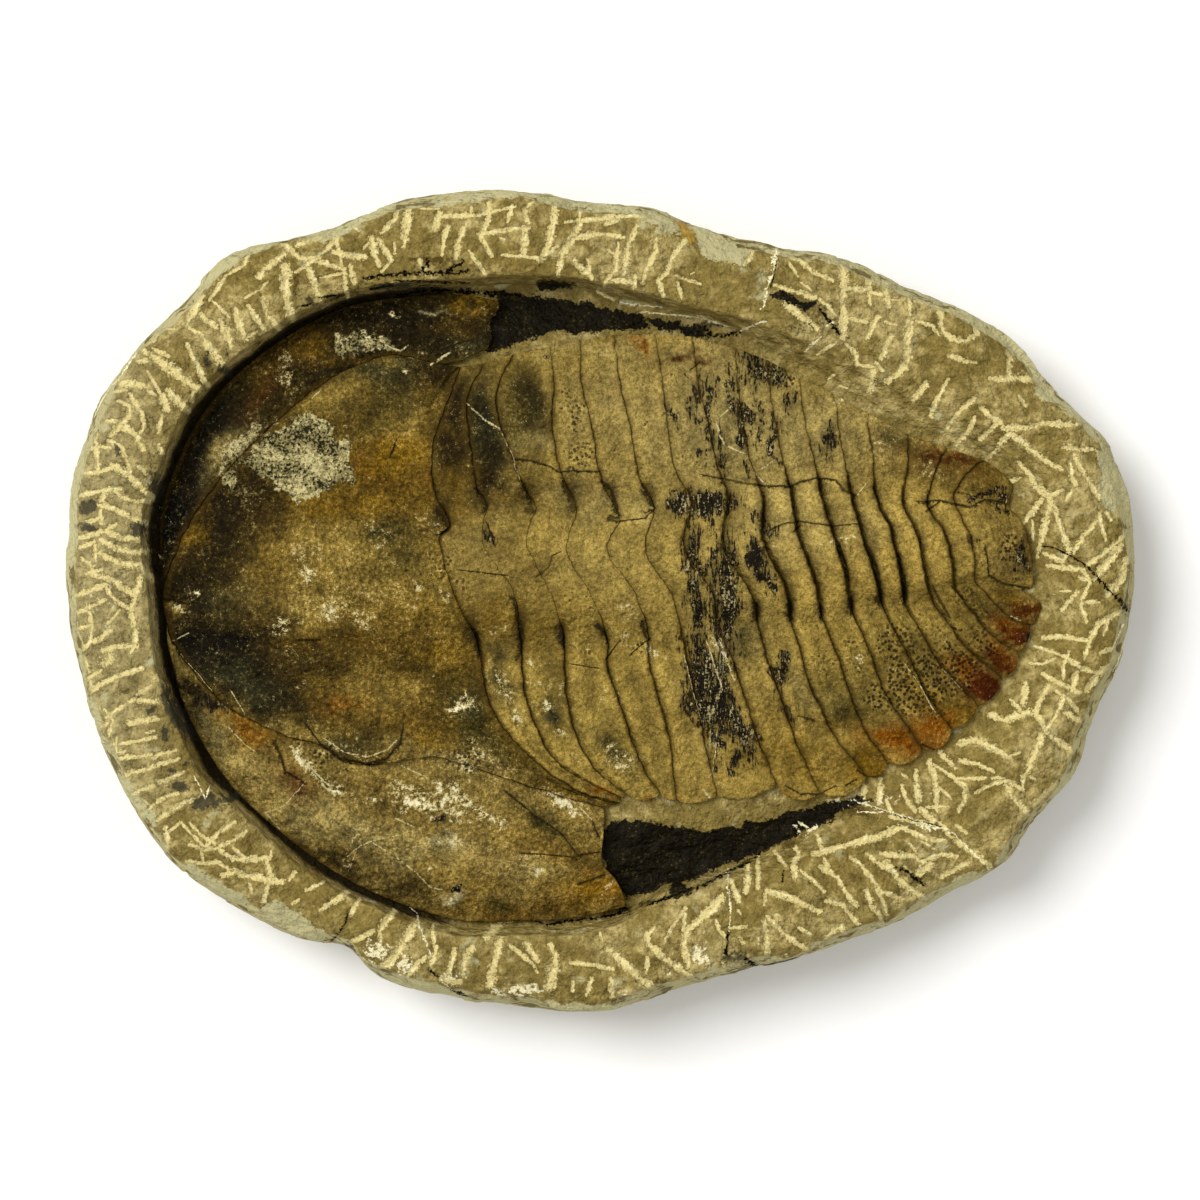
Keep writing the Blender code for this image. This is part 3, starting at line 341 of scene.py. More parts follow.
# Cracks in chains of the same kind, with a width below 0 for a dark gap and above 0 for one filled with
# pale dust.
ROCK_CRACKS = (
    (777, 248, 772, 275, 4, 766, 290, 3, 762, 312, 2.5), (776, 262, 770, 290, -1.4),
    (729, 870, 726, 884, 2, 729, 898, 2.4, 730, 913, 2, 728, 930, 1.4, 725, 956, -2.6),
    (850, 800, 900, 815, 2, 950, 830, 2, 990, 870, 1.6),
    (350, 910, 348, 920, -2.6, 340, 931, -1.8, 332, 941, -2),
    (430, 966, 440, 975, -2, 452, 989, 1.6, 468, 997, -3.2),
    (1043, 546, 1055, 548, -1.6, 1066, 554, -1.6, 1085, 566, -1.8, 1112, 595, -2, 1122, 603, -5,
     1130, 611, -6),
    (1134, 625, 1120, 660, 1.6, 1112, 695, 1.6, 1101, 718, 1.6), (1128, 640, 1114, 672, 1.2),
    (1124, 624, 1110, 652, 1.2), (138, 354, 122, 378, 1.6, 106, 393, 1.6, 93, 417, 1.6),
    (401, 901, 416, 915, 1.6, 427, 939, 1.6, 432, 954, 1.6), (897, 866, 924, 884, -4),
    (740, 953, 761, 968, -4, 800, 958, -2), (783, 869, 781, 880, -2),
    (500, 907, 545, 926, -1.2, 600, 919, -2.4, 627, 912, -3), (620, 911, 630, 912, -5),
    (908, 822, 940, 828, 3), (870, 806, 900, 816, -1.6, 940, 826, -1.8), (858, 812, 889, 812, 1.5),
    (365, 282, 390, 277, -3.5, 420, 275, -3.5, 455, 276, -3.5, 470, 272, -3), (422, 275, 430, 262, -4),
    (445, 275, 465, 264, -4), (370, 290, 395, 286, -1.6),
    (390, 297, 410, 291, -4.5, 425, 288, -4.5, 450, 289, -4.5, 480, 291, -4.5, 520, 293, -4.5),
    (320, 300, 345, 296, -3), (300, 310, 315, 305, -2.5), (326, 312, 345, 300, -2),
    (395, 283, 470, 283, -1.4), (705, 325, 712, 335, -5, 725, 335, -5, 740, 330, -4),
    (620, 301, 662, 306, 1.6), (640, 310, 700, 316, 1.4, 728, 326, 2), (740, 330, 765, 322, 2),
    (820, 338, 805, 352, 2), (825, 327, 835, 322, 2), (817, 309, 838, 335, -3),
    (161, 506, 170, 518, 3.5, 188, 530, 1.6), (157, 556, 172, 562, 3), (212, 785, 208, 797, 1.6),
    (197, 775, 208, 798, 1.2), (700, 885, 758, 858, -2.4), (640, 905, 700, 884, -2.4),
    (758, 858, 762, 849, -2), (800, 823, 812, 832, 4), (796, 826, 800, 836, 3), (806, 837, 818, 826, 3),
)
GROOVE_DEPTH, GROOVE_LIP = 0.45, 0.1
LIP_PLACE, LIP_WIDTH = 1.5, 0.4
# Whole numbers that scatter random values well, the steps between seeds, and how strong the noises are.
SCATTER_AXES, SCATTER_SEED, SCATTER_MIX = (374761393, 668265263, 550290313), 974634777, 1274126177
OCTAVE_STEP, AXIS_STEP, ROUGH_GAIN = 7, 31, 1.4
FACE_CENTRE_STEP, FACE_TILT_STEP, FACE_TILT_SEED, FACE_LEVEL_SEED = 11, 17, 5, 3
FACE_SPREAD, FACE_LEVEL, FACE_TILT = 0.4, 0.5, 0.8
# Points measured against the strokes at a time, which keeps the arrays small.
BATCH = 4000


def ease(value, start, end):
    """Smooth step: 0 before start, 1 after end, and between them three times the square of the share of
    the way less twice its cube."""
    t = np.clip((value - start) / (end - start), 0, 1)
    return t * t * (3 - 2 * t)


def through(knots, at):
    """Smooth line through knots (station, value, ...): each stretch is the cubic that meets its two
    knots with the slopes found from their neighbours."""
    table = np.asarray(knots, float)
    stations, values = table[:, 0], table[:, 1:]
    slopes = np.gradient(values, stations, axis=0)
    at = np.clip(np.asarray(at, float), stations[0], stations[-1])
    left = np.clip(np.searchsorted(stations, at, side="right") - 1, 0, len(stations) - 2)
    span = (stations[left + 1] - stations[left])[..., None]
    t = (at - stations[left])[..., None] / span
    return (
        (2 * t**3 - 3 * t**2 + 1) * values[left]
        + (t**3 - 2 * t**2 + t) * span * slopes[left]
        + (3 * t**2 - 2 * t**3) * values[left + 1]
        + (t**3 - t**2) * span * slopes[left + 1]
    )


def random_at(corners, seed):
    """A fixed random number from -1 to 1 for each whole-numbered corner: its numbers are multiplied,
    added and mixed, and the low bits are kept."""
    mixed = seed * SCATTER_SEED
    for number, factor in zip(np.moveaxis(corners, -1, 0), SCATTER_AXES):
        mixed = mixed + number * factor
    mixed = ((mixed ^ (mixed >> 13)) & 0xFFFFFFFF) * SCATTER_MIX
    mixed = mixed ^ (mixed >> 16)
    return (mixed & 0xFFFFFF) / 0x7FFFFF - 1


def rough(points, size, seed, octaves=1):
    """Fractal lumps from about -1 to 1: each corner of a lattice slopes its own random way, the slopes
    are blended across each cell, and every octave has half the size and weight of the one before."""
    total = 0
    for octave in range(octaves):
        places = points / (size / 2**octave)
        cell = np.floor(places).astype(np.int64)
        inside = places - cell
        fade = inside**3 * (10 - 15 * inside + 6 * inside**2)
        height = 0
        for corner in itertools.product((0, 1), repeat=points.shape[-1]):
            share = np.prod(np.where(corner, fade, 1 - fade), axis=-1)
            slope = sum(
                random_at(cell + corner, seed + OCTAVE_STEP * octave + AXIS_STEP * k)
                * (inside[..., k] - corner[k])
                for k in range(points.shape[-1])
            )
            height = height + share * slope
        total = total + ROUGH_GAIN * height / 2**octave
    return total


def lumps(points, layers, seed, step=1):
    """Several layers of roughness added up, each with its own height, size and octaves."""
    return sum(
        height * rough(points, size, seed + k * step, octaves)
        for k, (height, size, octaves) in enumerate(layers)
    )


def pushed(plan, layers, seed):
    """Plan places pushed about by layers of roughness, by one seed east and by the next one north."""
    return plan + np.stack([lumps(plan, layers, seed + k, 2) for k in (0, 1)], axis=-1)


def bell(distance, width):
    """A bell curve: 1 at no distance, and the number e to the power of minus the square of the distance
    counted in widths."""
    return np.exp(-((distance / width) ** 2))


def facets(points, size, seed):
    """Broken faces from about -1 to 1: space is parted among random centres, and each point takes the
    height of its nearest centre's own tilted plane."""
    places = points / size
    cell = np.floor(places).astype(np.int64)
    nearest = np.full(points.shape[:-1], np.inf)
    height = np.zeros(points.shape[:-1])
    for step in itertools.product((-1, 0, 1), repeat=points.shape[-1]):
        corner = cell + step
        away = [
            places[..., k] - corner[..., k] - 0.5
            - FACE_SPREAD * random_at(corner, seed + FACE_CENTRE_STEP * k)
            for k in range(points.shape[-1])
        ]
        distance = sum(a * a for a in away)
        tilt = sum(
            a * random_at(corner, seed + FACE_TILT_SEED + FACE_TILT_STEP * k) for k, a in enumerate(away)
        )
        level = FACE_LEVEL * random_at(corner, seed + FACE_LEVEL_SEED)
        closer = distance < nearest
        nearest = np.where(closer, distance, nearest)
        height = np.where(closer, level + FACE_TILT * tilt, height)
    return height


def broken(points, layers):
    """Several layers of broken faces added up, each with its own height, size and seed."""
    return sum(height * facets(points, size, seed) for height, size, seed in layers)


def reach_of(outline, angles):
    """Distance from the middle to a closed outline at each angle: a smooth periodic line through the
    outline's points in polar form."""
    x, y = np.array(outline, float).T
    turn, reach = np.arctan2(y, x), np.hypot(x, y)
    order = np.argsort(turn)
    turn, reach = turn[order], reach[order]
    turn = np.concatenate([turn[-3:] - 2 * math.pi, turn, turn[:3] + 2 * math.pi])
    reach = np.concatenate([reach[-3:], reach, reach[:3]])
    wrapped = (angles + math.pi) % (2 * math.pi) - math.pi
    return through(np.stack([turn, reach], axis=1), wrapped)[..., 0]


def bed_height(plan):
    """The bed under plan points: a crest, less a square fall to the sides, the head and the tail."""
    x, y = plan[..., 0], plan[..., 1]
    ends = np.where(x < 0, BED_FALL_HEAD, BED_FALL_TAIL) * (x / BED_HALF_LENGTH) ** 2
    return BED_CREST - BED_FALL_SIDE * (y / BED_HALF_WIDTH) ** 2 - ends


def degrees_from(angles, middle):
    """How many degrees each angle lies from the middle one, the short way round."""
    return np.abs((np.degrees(angles) - middle + 180) % 360 - 180)


def on_plan(pixels):
    """Plan place in millimetres of a place counted in the photograph's pixels, whose y runs down."""
    return (np.asarray(pixels, float) - PHOTO_MIDDLE) * (PHOTO_PIXEL, -PHOTO_PIXEL)


def strokes_of(chains):
    """Chains of strokes as one row for each stroke: both its ends, its width and its tone, which is 0
    for a dark one, whose width is given below 0, and else 1."""
    rows = []
    for x, y, *steps in chains:
        for end_x, end_y, width in zip(steps[::3], steps[1::3], steps[2::3]):
            rows.append((x, y, end_x, end_y, abs(width), width > 0))
            x, y = end_x, end_y
    return np.array(rows, float)


def stroke_gaps(plan, strokes):
    """Distance of each plan point from each stroke's middle line, counted in the stroke's half widths:
    the point is dropped on the line, and the drop is held between the line's two ends."""
    rows = strokes.astype(np.float32)
    start, end = (on_plan(rows[:, k : k + 2]).astype(np.float32) for k in (0, 2))
    half = rows[:, 4] * PHOTO_PIXEL / 2
    along = end - start
    length = (along**2).sum(axis=1)
    plan = plan.astype(np.float32)
    east, north = plan[:, 0, None] - start[:, 0], plan[:, 1, None] - start[:, 1]
    share = np.clip((east * along[:, 0] + north * along[:, 1]) / length, 0, 1)
    return np.hypot(east - share * along[:, 0], north - share * along[:, 1]) / half


def groove(plan, strokes):
    """Depth of the chisel's grooves at plan points: 1 down the middle of a stroke, falling as a parabola
    to its edge, with a low lip outside it."""
    nearest = np.concatenate(
        [stroke_gaps(plan[k : k + BATCH], strokes).min(axis=1) for k in range(0, len(plan), BATCH)]
    )
    return GROOVE_DEPTH * np.clip(1 - nearest**2, 0, 1) - GROOVE_LIP * bell(nearest - LIP_PLACE, LIP_WIDTH)


def inside(plan, outline):
    """Signed distance in millimetres to a closed outline in pixels, above 0 inside: the nearest edge's
    distance, whose sign flips with each edge that a ray from the point crosses."""
    corners = on_plan(outline)
    nearest = np.full(len(plan), np.inf)
    within = np.zeros(len(plan), bool)
    for a, b in zip(corners, np.roll(corners, -1, axis=0)):
        along = b - a
        share = np.clip((plan - a) @ along / (along @ along), 0, 1)
        nearest = np.minimum(nearest, np.linalg.norm(plan - a - share[:, None] * along, axis=1))
        crosses = (a[1] > plan[:, 1]) != (b[1] > plan[:, 1])
        rise = along[1] if along[1] else 1.0
        within ^= crosses & (plan[:, 0] < a[0] + (plan[:, 1] - a[1]) * along[0] / rise)
    return np.where(within, nearest, -nearest)


def spot(plan, x, y, along, across, turn):
    """A soft patch at plan points: 1 in its middle, and a bell curve of the distance counted in its two
    radii, turned by an angle."""
    away = plan - on_plan((x, y))
    turn = math.radians(turn)
    u = (away[..., 0] * math.cos(turn) + away[..., 1] * math.sin(turn)) / (along * PHOTO_PIXEL)
    v = (away[..., 1] * math.cos(turn) - away[..., 0] * math.sin(turn)) / (across * PHOTO_PIXEL)
    return np.exp(-(u**2 + v**2))


def patches(plan, rows):
    """The strongest of several soft patches at each plan point."""
    field = np.zeros(plan.shape[:-1])
    for *shape, strength in rows:
        field = np.maximum(field, strength * spot(plan, *shape))
    return field


def add_mesh(name, points, quads, triangles=(), caps=()):
    """A smooth-shaded object at the origin from points in millimetres and rows of point numbers."""
    mesh = bpy.data.meshes.new(name)
    fours, threes = np.reshape(quads, (-1, 4)), np.reshape(triangles, (-1, 3)).astype(int)
    mesh.from_pydata((points.reshape(-1, 3) * MM).tolist(), [], [*fours.tolist(), *threes.tolist(), *caps])
    mesh.shade_smooth()
    mesh.update()
    obj = bpy.data.objects.new(name, mesh)
    bpy.context.scene.collection.objects.link(obj)
    return obj


def keep_field(obj, name, values):
    """Keeps one number, or one row of four, for each point of the mesh, for its material to read."""
    four = values.ndim > 1 and values.shape[-1] == 4
    attribute = obj.data.attributes.new(name, "FLOAT_COLOR" if four else "FLOAT", "POINT")
    attribute.data.foreach_set("color" if four else "value", values.astype(np.float32).ravel())


def keep_strokes(obj, name, strokes):
    """Keeps where every face corner lies against the two strokes nearest to its face: how far across,
    before its start and past its end, in half widths, and the stroke's tone. These run evenly over a
    face, so a straight stroke stays crisp however fine it is."""
    mesh = obj.data
    places = np.empty(3 * len(mesh.vertices), np.float32)
    mesh.vertices.foreach_get("co", places)
    middles = np.empty(3 * len(mesh.polygons), np.float32)
    mesh.polygons.foreach_get("center", middles)
    owners = np.empty(len(mesh.loops), np.int32)
    mesh.loops.foreach_get("vertex_index", owners)
    sizes = np.empty(len(mesh.polygons), np.int32)
    mesh.polygons.foreach_get("loop_total", sizes)
    places = places.reshape(-1, 3)[:, :2] / MM
    middles = middles.reshape(-1, 3)[:, :2] / MM
    order = np.concatenate(
        [
            np.argpartition(stroke_gaps(middles[k : k + BATCH], strokes), 1, axis=1)[:, :2]
            for k in range(0, len(middles), BATCH)
        ]
    )
    start, end = on_plan(strokes[:, 0:2]), on_plan(strokes[:, 2:4])
    length = np.linalg.norm(end - start, axis=1)
    unit = (end - start) / length[:, None]
    half = strokes[:, 4] * PHOTO_PIXEL / 2
    for turn in (0, 1):
        near = np.repeat(order[:, turn], sizes)
        away = places[owners] - start[near]
        along = (away * unit[near]).sum(axis=1)
        across = away[:, 0] * unit[near, 1] - away[:, 1] * unit[near, 0]
        kept = np.stack([across, -along, along - length[near], half[near] * strokes[near, 5]], axis=1)
        kept = kept / half[near, None]
        attribute = mesh.attributes.new(f"{name}_{turn}", "FLOAT_COLOR", "CORNER")
        attribute.data.foreach_set("color", kept.astype(np.float32).ravel())


def ring_quads(rows, columns):
    """Quads between neighbouring rows of closed rings, whose points are numbered row by row."""
    here = np.arange(rows - 1)[:, None] * columns + np.arange(columns)
    after = np.arange(rows - 1)[:, None] * columns + (np.arange(columns) + 1) % columns
    return np.stack([here, here + columns, after + columns, after], axis=-1)


def even_angles(count):
    """Angles whose rays cut the middle of the rim into equal lengths."""
    angles = np.linspace(-math.pi, math.pi, 4 * count + 1)
    middle = (reach_of(BLOCK_OUTLINE, angles) + reach_of(HOLLOW_OUTLINE, angles)) / 2
    x, y = middle * np.cos(angles), middle * np.sin(angles)
    length = np.concatenate([[0], np.cumsum(np.hypot(np.diff(x), np.diff(y)))])
    return np.interp(np.arange(count) * length[-1] / count, length, angles)


def block_rows():
    """Rings of the block as (plan reach, height, part) rows, part 0 the bed, 1 the wall, 2 the rim and
    3 the side: the reach and height of each ring are functions of the angle, blended row by row."""
    angles = even_angles(ROCK_COLUMNS)
    ray = np.stack([np.cos(angles), np.sin(angles)], axis=1)
    hollow = reach_of(HOLLOW_OUTLINE, angles)
    outline = reach_of(BLOCK_OUTLINE, angles)
    tail = ease(hollow * ray[:, 0], TAIL_STARTS, TAIL_ENDS)
    rim = RIM_HEIGHT_HEAD + (RIM_HEIGHT_TAIL - RIM_HEIGHT_HEAD) * tail
    hollow = hollow + lumps(ray * hollow[:, None], HOLLOW_WAVER, HOLLOW_SEED)
    wall_top = hollow + WALL_RUN_HEAD + (WALL_RUN_TAIL - WALL_RUN_HEAD) * tail
    nibbles = rough(ray * outline[:, None], NIBBLE_SIZE, NIBBLE_SEED, 3)
    outline = outline - EDGE_NIBBLE * np.clip(NIBBLE_BIAS + nibbles, 0, None)
    edge = outline - EDGE_CHIP_INSET

    trough = sum(
        ease(degrees_from(angles, middle), half_width, TROUGH_FLOOR * half_width)
        for middle, half_width in TROUGHS
    )
    flake = sum(
        depth * np.clip(1 - (degrees_from(angles, middle) / half_width) ** 2, 0, None)
        for middle, half_width, depth in EDGE_FLAKES
    )

    reach, height, part = [], [], []
    for share in BED_SHARES:
        plan = ray * (hollow * share)[:, None]
        depth = TROUGH_DEPTH * np.interp(share, TROUGH_RINGS, TROUGH_SHARES)
        reach.append(hollow * share)
        height.append(bed_height(plan) - depth * trough)
        part.append(0)
    foot = height[-1]

    def rim_height(share):
        plan = ray * (wall_top + (edge - wall_top) * share)[:, None]
        crown = RIM_CROWN * 4 * share * (1 - share) - RIM_FALL * share
        return rim + crown + RIM_LUMP * rough(plan, RIM_LUMP_SIZE, RIM_SEED) - flake * share**3

    for share in np.linspace(0, 1, WALL_STEPS)[1:-1]:
        reach.append(hollow + (wall_top - hollow) * share)
        rise = share + WALL_BELLY * math.sin(2 * math.pi * share)
        height.append(foot + (rim_height(0) - foot) * rise)
        part.append(1)
    for share in np.linspace(0, 1, RIM_STEPS):
        reach.append(wall_top + (edge - wall_top) * share)
        height.append(rim_height(share))
        part.append(2)
    chips = 1 + EDGE_CHIP_VARIES * rough(edge[:, None] * ray, RIM_LUMP_SIZE, CHIP_SEED)
    sides = rough(outline[:, None] * ray, RIM_LUMP_SIZE, SIDE_SEED)
    stops = (
        (edge, rim_height(1)),
        (outline - EDGE_BREAK_INSET, rim - EDGE_CHIP_DROP * chips - flake),
        (outline, WIDEST_HEIGHT + SIDE_LUMP * sides),
        (outline - WAIST_INSET - WAIST_LUMP * sides, np.full(ROCK_COLUMNS, float(WAIST_HEIGHT))),
        (outline - FOOT_INSET, np.zeros(ROCK_COLUMNS)),
    )
    for (reach_0, height_0), (reach_1, height_1), steps in zip(stops, stops[1:], SIDE_STEPS):
        for share in np.arange(1, steps + 1) / steps:
            reach.append(reach_0 + (reach_1 - reach_0) * share)
            height.append(height_0 + (height_1 - height_0) * share)
            part.append(3)
    return ray, np.array(reach), np.array(height), np.array(part)


def build_block():
    """The block as one closed skin: rings from a pole in the middle of the bed, out over the wall, rim
    and side, to a pole in the middle of the flat underside, with the rock's relief added along z or,
    on the side, inwards."""
    ray, reach, height, part = block_rows()
    points = np.concatenate([reach[..., None] * ray, height[..., None]], axis=-1)
    plan = points[..., :2]
    last_rim = np.flatnonzero(part == 2)[-1]
    drop = height[last_rim] - height
    fade = np.where(part[:, None] == 3, np.exp(-drop / RELIEF_FADES), 1)
    weight = np.array(RELIEF_ON_PARTS)[part][:, None] * fade
    points[..., 2] += weight * (lumps(plan, ROCK_LUMPS, ROCK_SEED) + broken(plan, ROCK_FACES))
    scored = (part > 0) & (np.arange(part.size) <= last_rim)
    chisel_strokes = strokes_of(CHISEL_STROKES)
    cut = groove(plan[scored].reshape(-1, 2), chisel_strokes)
    points[scored, :, 2] -= cut.reshape(-1, ROCK_COLUMNS)
    layered = points * (1, 1, SIDE_LAYERING)
    bite = broken(layered, SIDE_FACES) + lumps(layered, SIDE_GRIT, GRIT_SEED)
    smoother = 1 - WIDEST_SMOOTHER * bell(height - WIDEST_HEIGHT, WIDEST_SPAN)
    bite = SIDE_BITE * np.clip(BITE_BIAS + bite, 0, None) * smoother
    bite = bite * (part == 3)[:, None] * ease(height, *BITE_STARTS) * ease(drop, *BITE_DROPS)
    points[..., :2] -= ray * bite[..., None]
    limit = np.array(cad_high) / MM - BOX_MARGIN
    points[..., :2] = np.clip(points[..., :2], -limit[:2], limit[:2])
    over = np.clip(points[..., 2] - limit[2] + BOX_SOFTNESS, 0, None)
    points[..., 2] += np.tanh(over) - over
    rows, columns = part.size, ROCK_COLUMNS
    inner = np.array([[0, 0, BED_CREST]])
    under = points[-1] * (UNDER_SHARE, UNDER_SHARE, 0)
    outer = np.zeros((1, 3))
    everything = np.concatenate([points.reshape(-1, 3), under, inner, outer])
    count = (rows + 1) * columns
    c = np.arange(columns)
    after = (c + 1) % columns
    top_fan = np.stack([np.full(columns, count), c, after], axis=1)
    last = rows * columns
    under_fan = np.stack([np.full(columns, count + 1), last + after, last + c], axis=1)
    quads = ring_quads(rows + 1, columns)
    obj = add_mesh("rock_block", everything, quads, np.concatenate([top_fan, under_fan]))
    on_side = (part == 3)[:, None] * ease(drop, *SIDE_BEGINS)
    on_side = np.concatenate([on_side.ravel(), np.ones(columns), [0, 1]])
    first_rim = np.flatnonzero(part == 2)[0]
    # The depth below the rim's inner edge, at the head end only, which the material turns into painted
    # shade on the wall and the bed.
    sunk = np.clip(height[first_rim] - height, 0, None) * (part < 2)[:, None]
    sunk = sunk * ease(points[..., 0], *SHADED_WALL_ENDS)
    sunk = np.concatenate([sunk.ravel(), np.zeros(columns), [SUNK_MIDDLE, 0]])
    wander = pushed(everything[:, :2], STAIN_WANDER, STAIN_SEED)
    fresh = np.max([inside(wander, outline) for outline in FRESH_BREAKS], axis=0)
    black = np.max([inside(wander, outline) for outline in BLACK_HOLLOWS], axis=0)
    ochre = inside(wander, OCHRE_PATCH)
    # Sooty stains that are partly painted shade, white bloom, painted shade on ledges, and the paler head
    # end.
    stains = [patches(wander, table) for table in (SOOT_AND_SHADE_PATCHES, WHITE_PATCHES, LEDGE_SHADE_PATCHES)]
    pale_head = ease(everything[:, 0], *PALE_HEAD_ENDS)
    keep_field(obj, "breaks", np.stack([fresh, black, ochre, on_side], axis=1))
    keep_field(obj, "stains", np.stack([*stains, pale_head], axis=1))
    keep_field(obj, "sunk", sunk)
    keep_strokes(obj, "chisel", chisel_strokes)
    keep_strokes(obj, "crack", strokes_of(ROCK_CRACKS))
    return obj


block = build_block()
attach(block, "root")
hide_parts("matrix")

# How far noise is stretched to run from about -1 to 1, and how strokes taper over their last half widths.
GRAIN_GAIN = 7.0
TAPER_ENDS, TAPER = (-5, 0.5), 0.35


class Wire:
    """A node socket that shader maths is written with: an expression on wires and numbers adds the Math
    nodes that work it out."""

    def __init__(self, tree, socket=None):
        self.tree, self.socket = tree, socket

    def node(self, kind, settings, sockets, output=0):
        """Adds a node: its settings first, then its sockets, each from a wire or a plain value."""
        node = self.tree.nodes.new(kind)
        for name, value in settings.items():
            setattr(node, name, value)
        for place, value in sockets.items():
            if isinstance(value, Wire):
                self.tree.links.new(value.socket, node.inputs[place])
            else:
                node.inputs[place].default_value = value
        return Wire(self.tree, node.outputs[output])

    def math(self, operation, *values):
        return self.node("ShaderNodeMath", {"operation": operation}, dict(enumerate(values)))

    def __add__(self, other):
        return self.math("ADD", self, other)

    def __sub__(self, other):
        return self.math("SUBTRACT", self, other)

    def __mul__(self, other):
        return self.math("MULTIPLY", self, other)

    def __rsub__(self, other):
        return self.math("SUBTRACT", other, self)

    __radd__, __rmul__ = __add__, __mul__

    def most(self, other):
        return self.math("MAXIMUM", self, other)

    def least(self, other):
        return self.math("MINIMUM", self, other)

    def doubling(self, rate, start=0.0):
        """2 to the power of start + rate times this."""
        return self.math("POWER", 2.0, self * rate + start)

    def step(self, start, end):
        """0 before start and 1 past end, as a smooth step."""
        return self.node(
            "ShaderNodeMapRange", {"interpolation_type": "SMOOTHSTEP"}, {0: self, 1: start, 2: end}
        )

    def tinted(self, share, colour):
        """This colour with a share of another one laid over it."""
        return self.node("ShaderNodeMix", {"data_type": "RGBA"}, {0: share, 6: self, 7: (*colour, 1)}, 2)

    def scaled(self, share):
        """This colour made lighter or darker by a factor."""
        return self.node("ShaderNodeVectorMath", {"operation": "SCALE"}, {0: self, 3: share})

    def grain(self, size, detail=3.0, rough_share=0.55, shift=0.0, stretch=(1, 1, 1)):
        """Noise of one size in millimetres, from about -1 to 1, at these places."""
        moved = {0: self, 1: (shift, -shift, 0.4 * shift), 3: stretch}
        places = self.node("ShaderNodeMapping", {"vector_type": "POINT"}, moved)
        makeup = {"Vector": places, "Scale": 1 / size, "Detail": detail, "Roughness": rough_share}
        return (self.node("ShaderNodeTexNoise", {}, makeup) - 0.5) * GRAIN_GAIN

    def cells(self, size, shift=0.0):
        """Distance to the nearest of scattered centres, in cell sizes."""
        moved = {0: self, 1: (shift, shift, shift)}
        places = self.node("ShaderNodeMapping", {"vector_type": "POINT"}, moved)
        makeup = {"Vector": places, "Scale": 1 / size}
        return self.node("ShaderNodeTexVoronoi", {"voronoi_dimensions": "2D"}, makeup)


class Finish:
    """A material's own tree: places on the piece in millimetres, the fields kept in its mesh, and the
    sockets of its shader."""

    def __init__(self, name, roughness, shine):
        self.material = bpy.data.materials.new(name)
        self.material.use_nodes = True
        self.tree = self.material.node_tree
        self.shader = self.tree.nodes["Principled BSDF"]
        self.shader.inputs["Roughness"].default_value = roughness
        self.shader.inputs["Specular IOR Level"].default_value = shine
        start = Wire(self.tree)
        metres = start.node("ShaderNodeTexCoord", {}, {}, "Object")
        self.place = start.node("ShaderNodeVectorMath", {"operation": "SCALE"}, {0: metres, 3: 1 / MM})

    def field(self, name, output="Fac"):
        return self.place.node("ShaderNodeAttribute", {"attribute_name": name}, {}, output)

    def fields(self, name):
        """The four numbers of a field of fours."""
        colour = self.field(name, "Color")
        parts = [colour.node("ShaderNodeSeparateColor", {}, {0: colour}, k) for k in range(3)]
        return *parts, self.field(name, "Alpha")

    def strokes(self, name, ragged, sway):
        """(distance, tone) of the nearer of the kept strokes: the distance from its swaying middle line,
        rounded at its ends, grows a little near them, so a stroke tapers, and is made ragged."""
        reach, tones = [], []
        for turn in (0, 1):
            across, before, past, tone = self.fields(f"{name}_{turn}")
            across = across + sway
            end = before.most(past)
            beyond = end.most(0.0)
            square = across * across + beyond * beyond
            reach.append(square.math("SQRT", square) + end.step(*TAPER_ENDS) * TAPER)
            tones.append(tone)
        nearer = reach[0].math("LESS_THAN", reach[0], reach[1])
        distance = reach[0].least(reach[1]) + ragged
        return distance, tones[1] + (tones[0] - tones[1]) * nearer

    def wear(self, pieces, colour, roughness, height, depth):
        """Joins a colour, a roughness and a bump to the shader, and puts the material on the pieces."""
        self.tree.links.new(colour.socket, self.shader.inputs["Base Color"])
        self.tree.links.new(roughness.socket, self.shader.inputs["Roughness"])
        relief = {"Strength": 1.0, "Distance": depth * MM, "Height": height}
        bump = self.place.node("ShaderNodeBump", {}, relief)
        self.tree.links.new(bump.socket, self.shader.inputs["Normal"])
        for piece in pieces:
            piece.data.materials.append(self.material)


# Colours of the stone, as light they send back. The ledge and wall shade colours are painted shade, and in
# places the slate stain and the black of the hollows are laid on as painted shade too.
OLIVE_STONE, TAN_STONE, DUN_STONE = (0.30, 0.22, 0.057), (0.52, 0.41, 0.155), (0.1, 0.068, 0.014)
CHISELLED_DUST, FRESH_STONE, LIMY_WHITE = (0.72, 0.6, 0.25), (0.5, 0.46, 0.24), (0.9, 0.82, 0.5)
LEDGE_SHADE_BROWN, SLATE_STAIN_AND_SHADE, OCHRE_STAIN = (0.06, 0.036, 0.006), (0.03, 0.029, 0.02), (0.42, 0.25, 0.035)
PALE_HEAD_STONE, WALL_SHADE_BROWN, HOLLOW_AND_SHADE_BLACK = (0.5, 0.42, 0.2), (0.05, 0.033, 0.008), (0.0025, 0.002, 0.001)
STONE_ROUGHNESS, STONE_SHINE, STONE_BUMP = 0.9, 0.06, 0.55


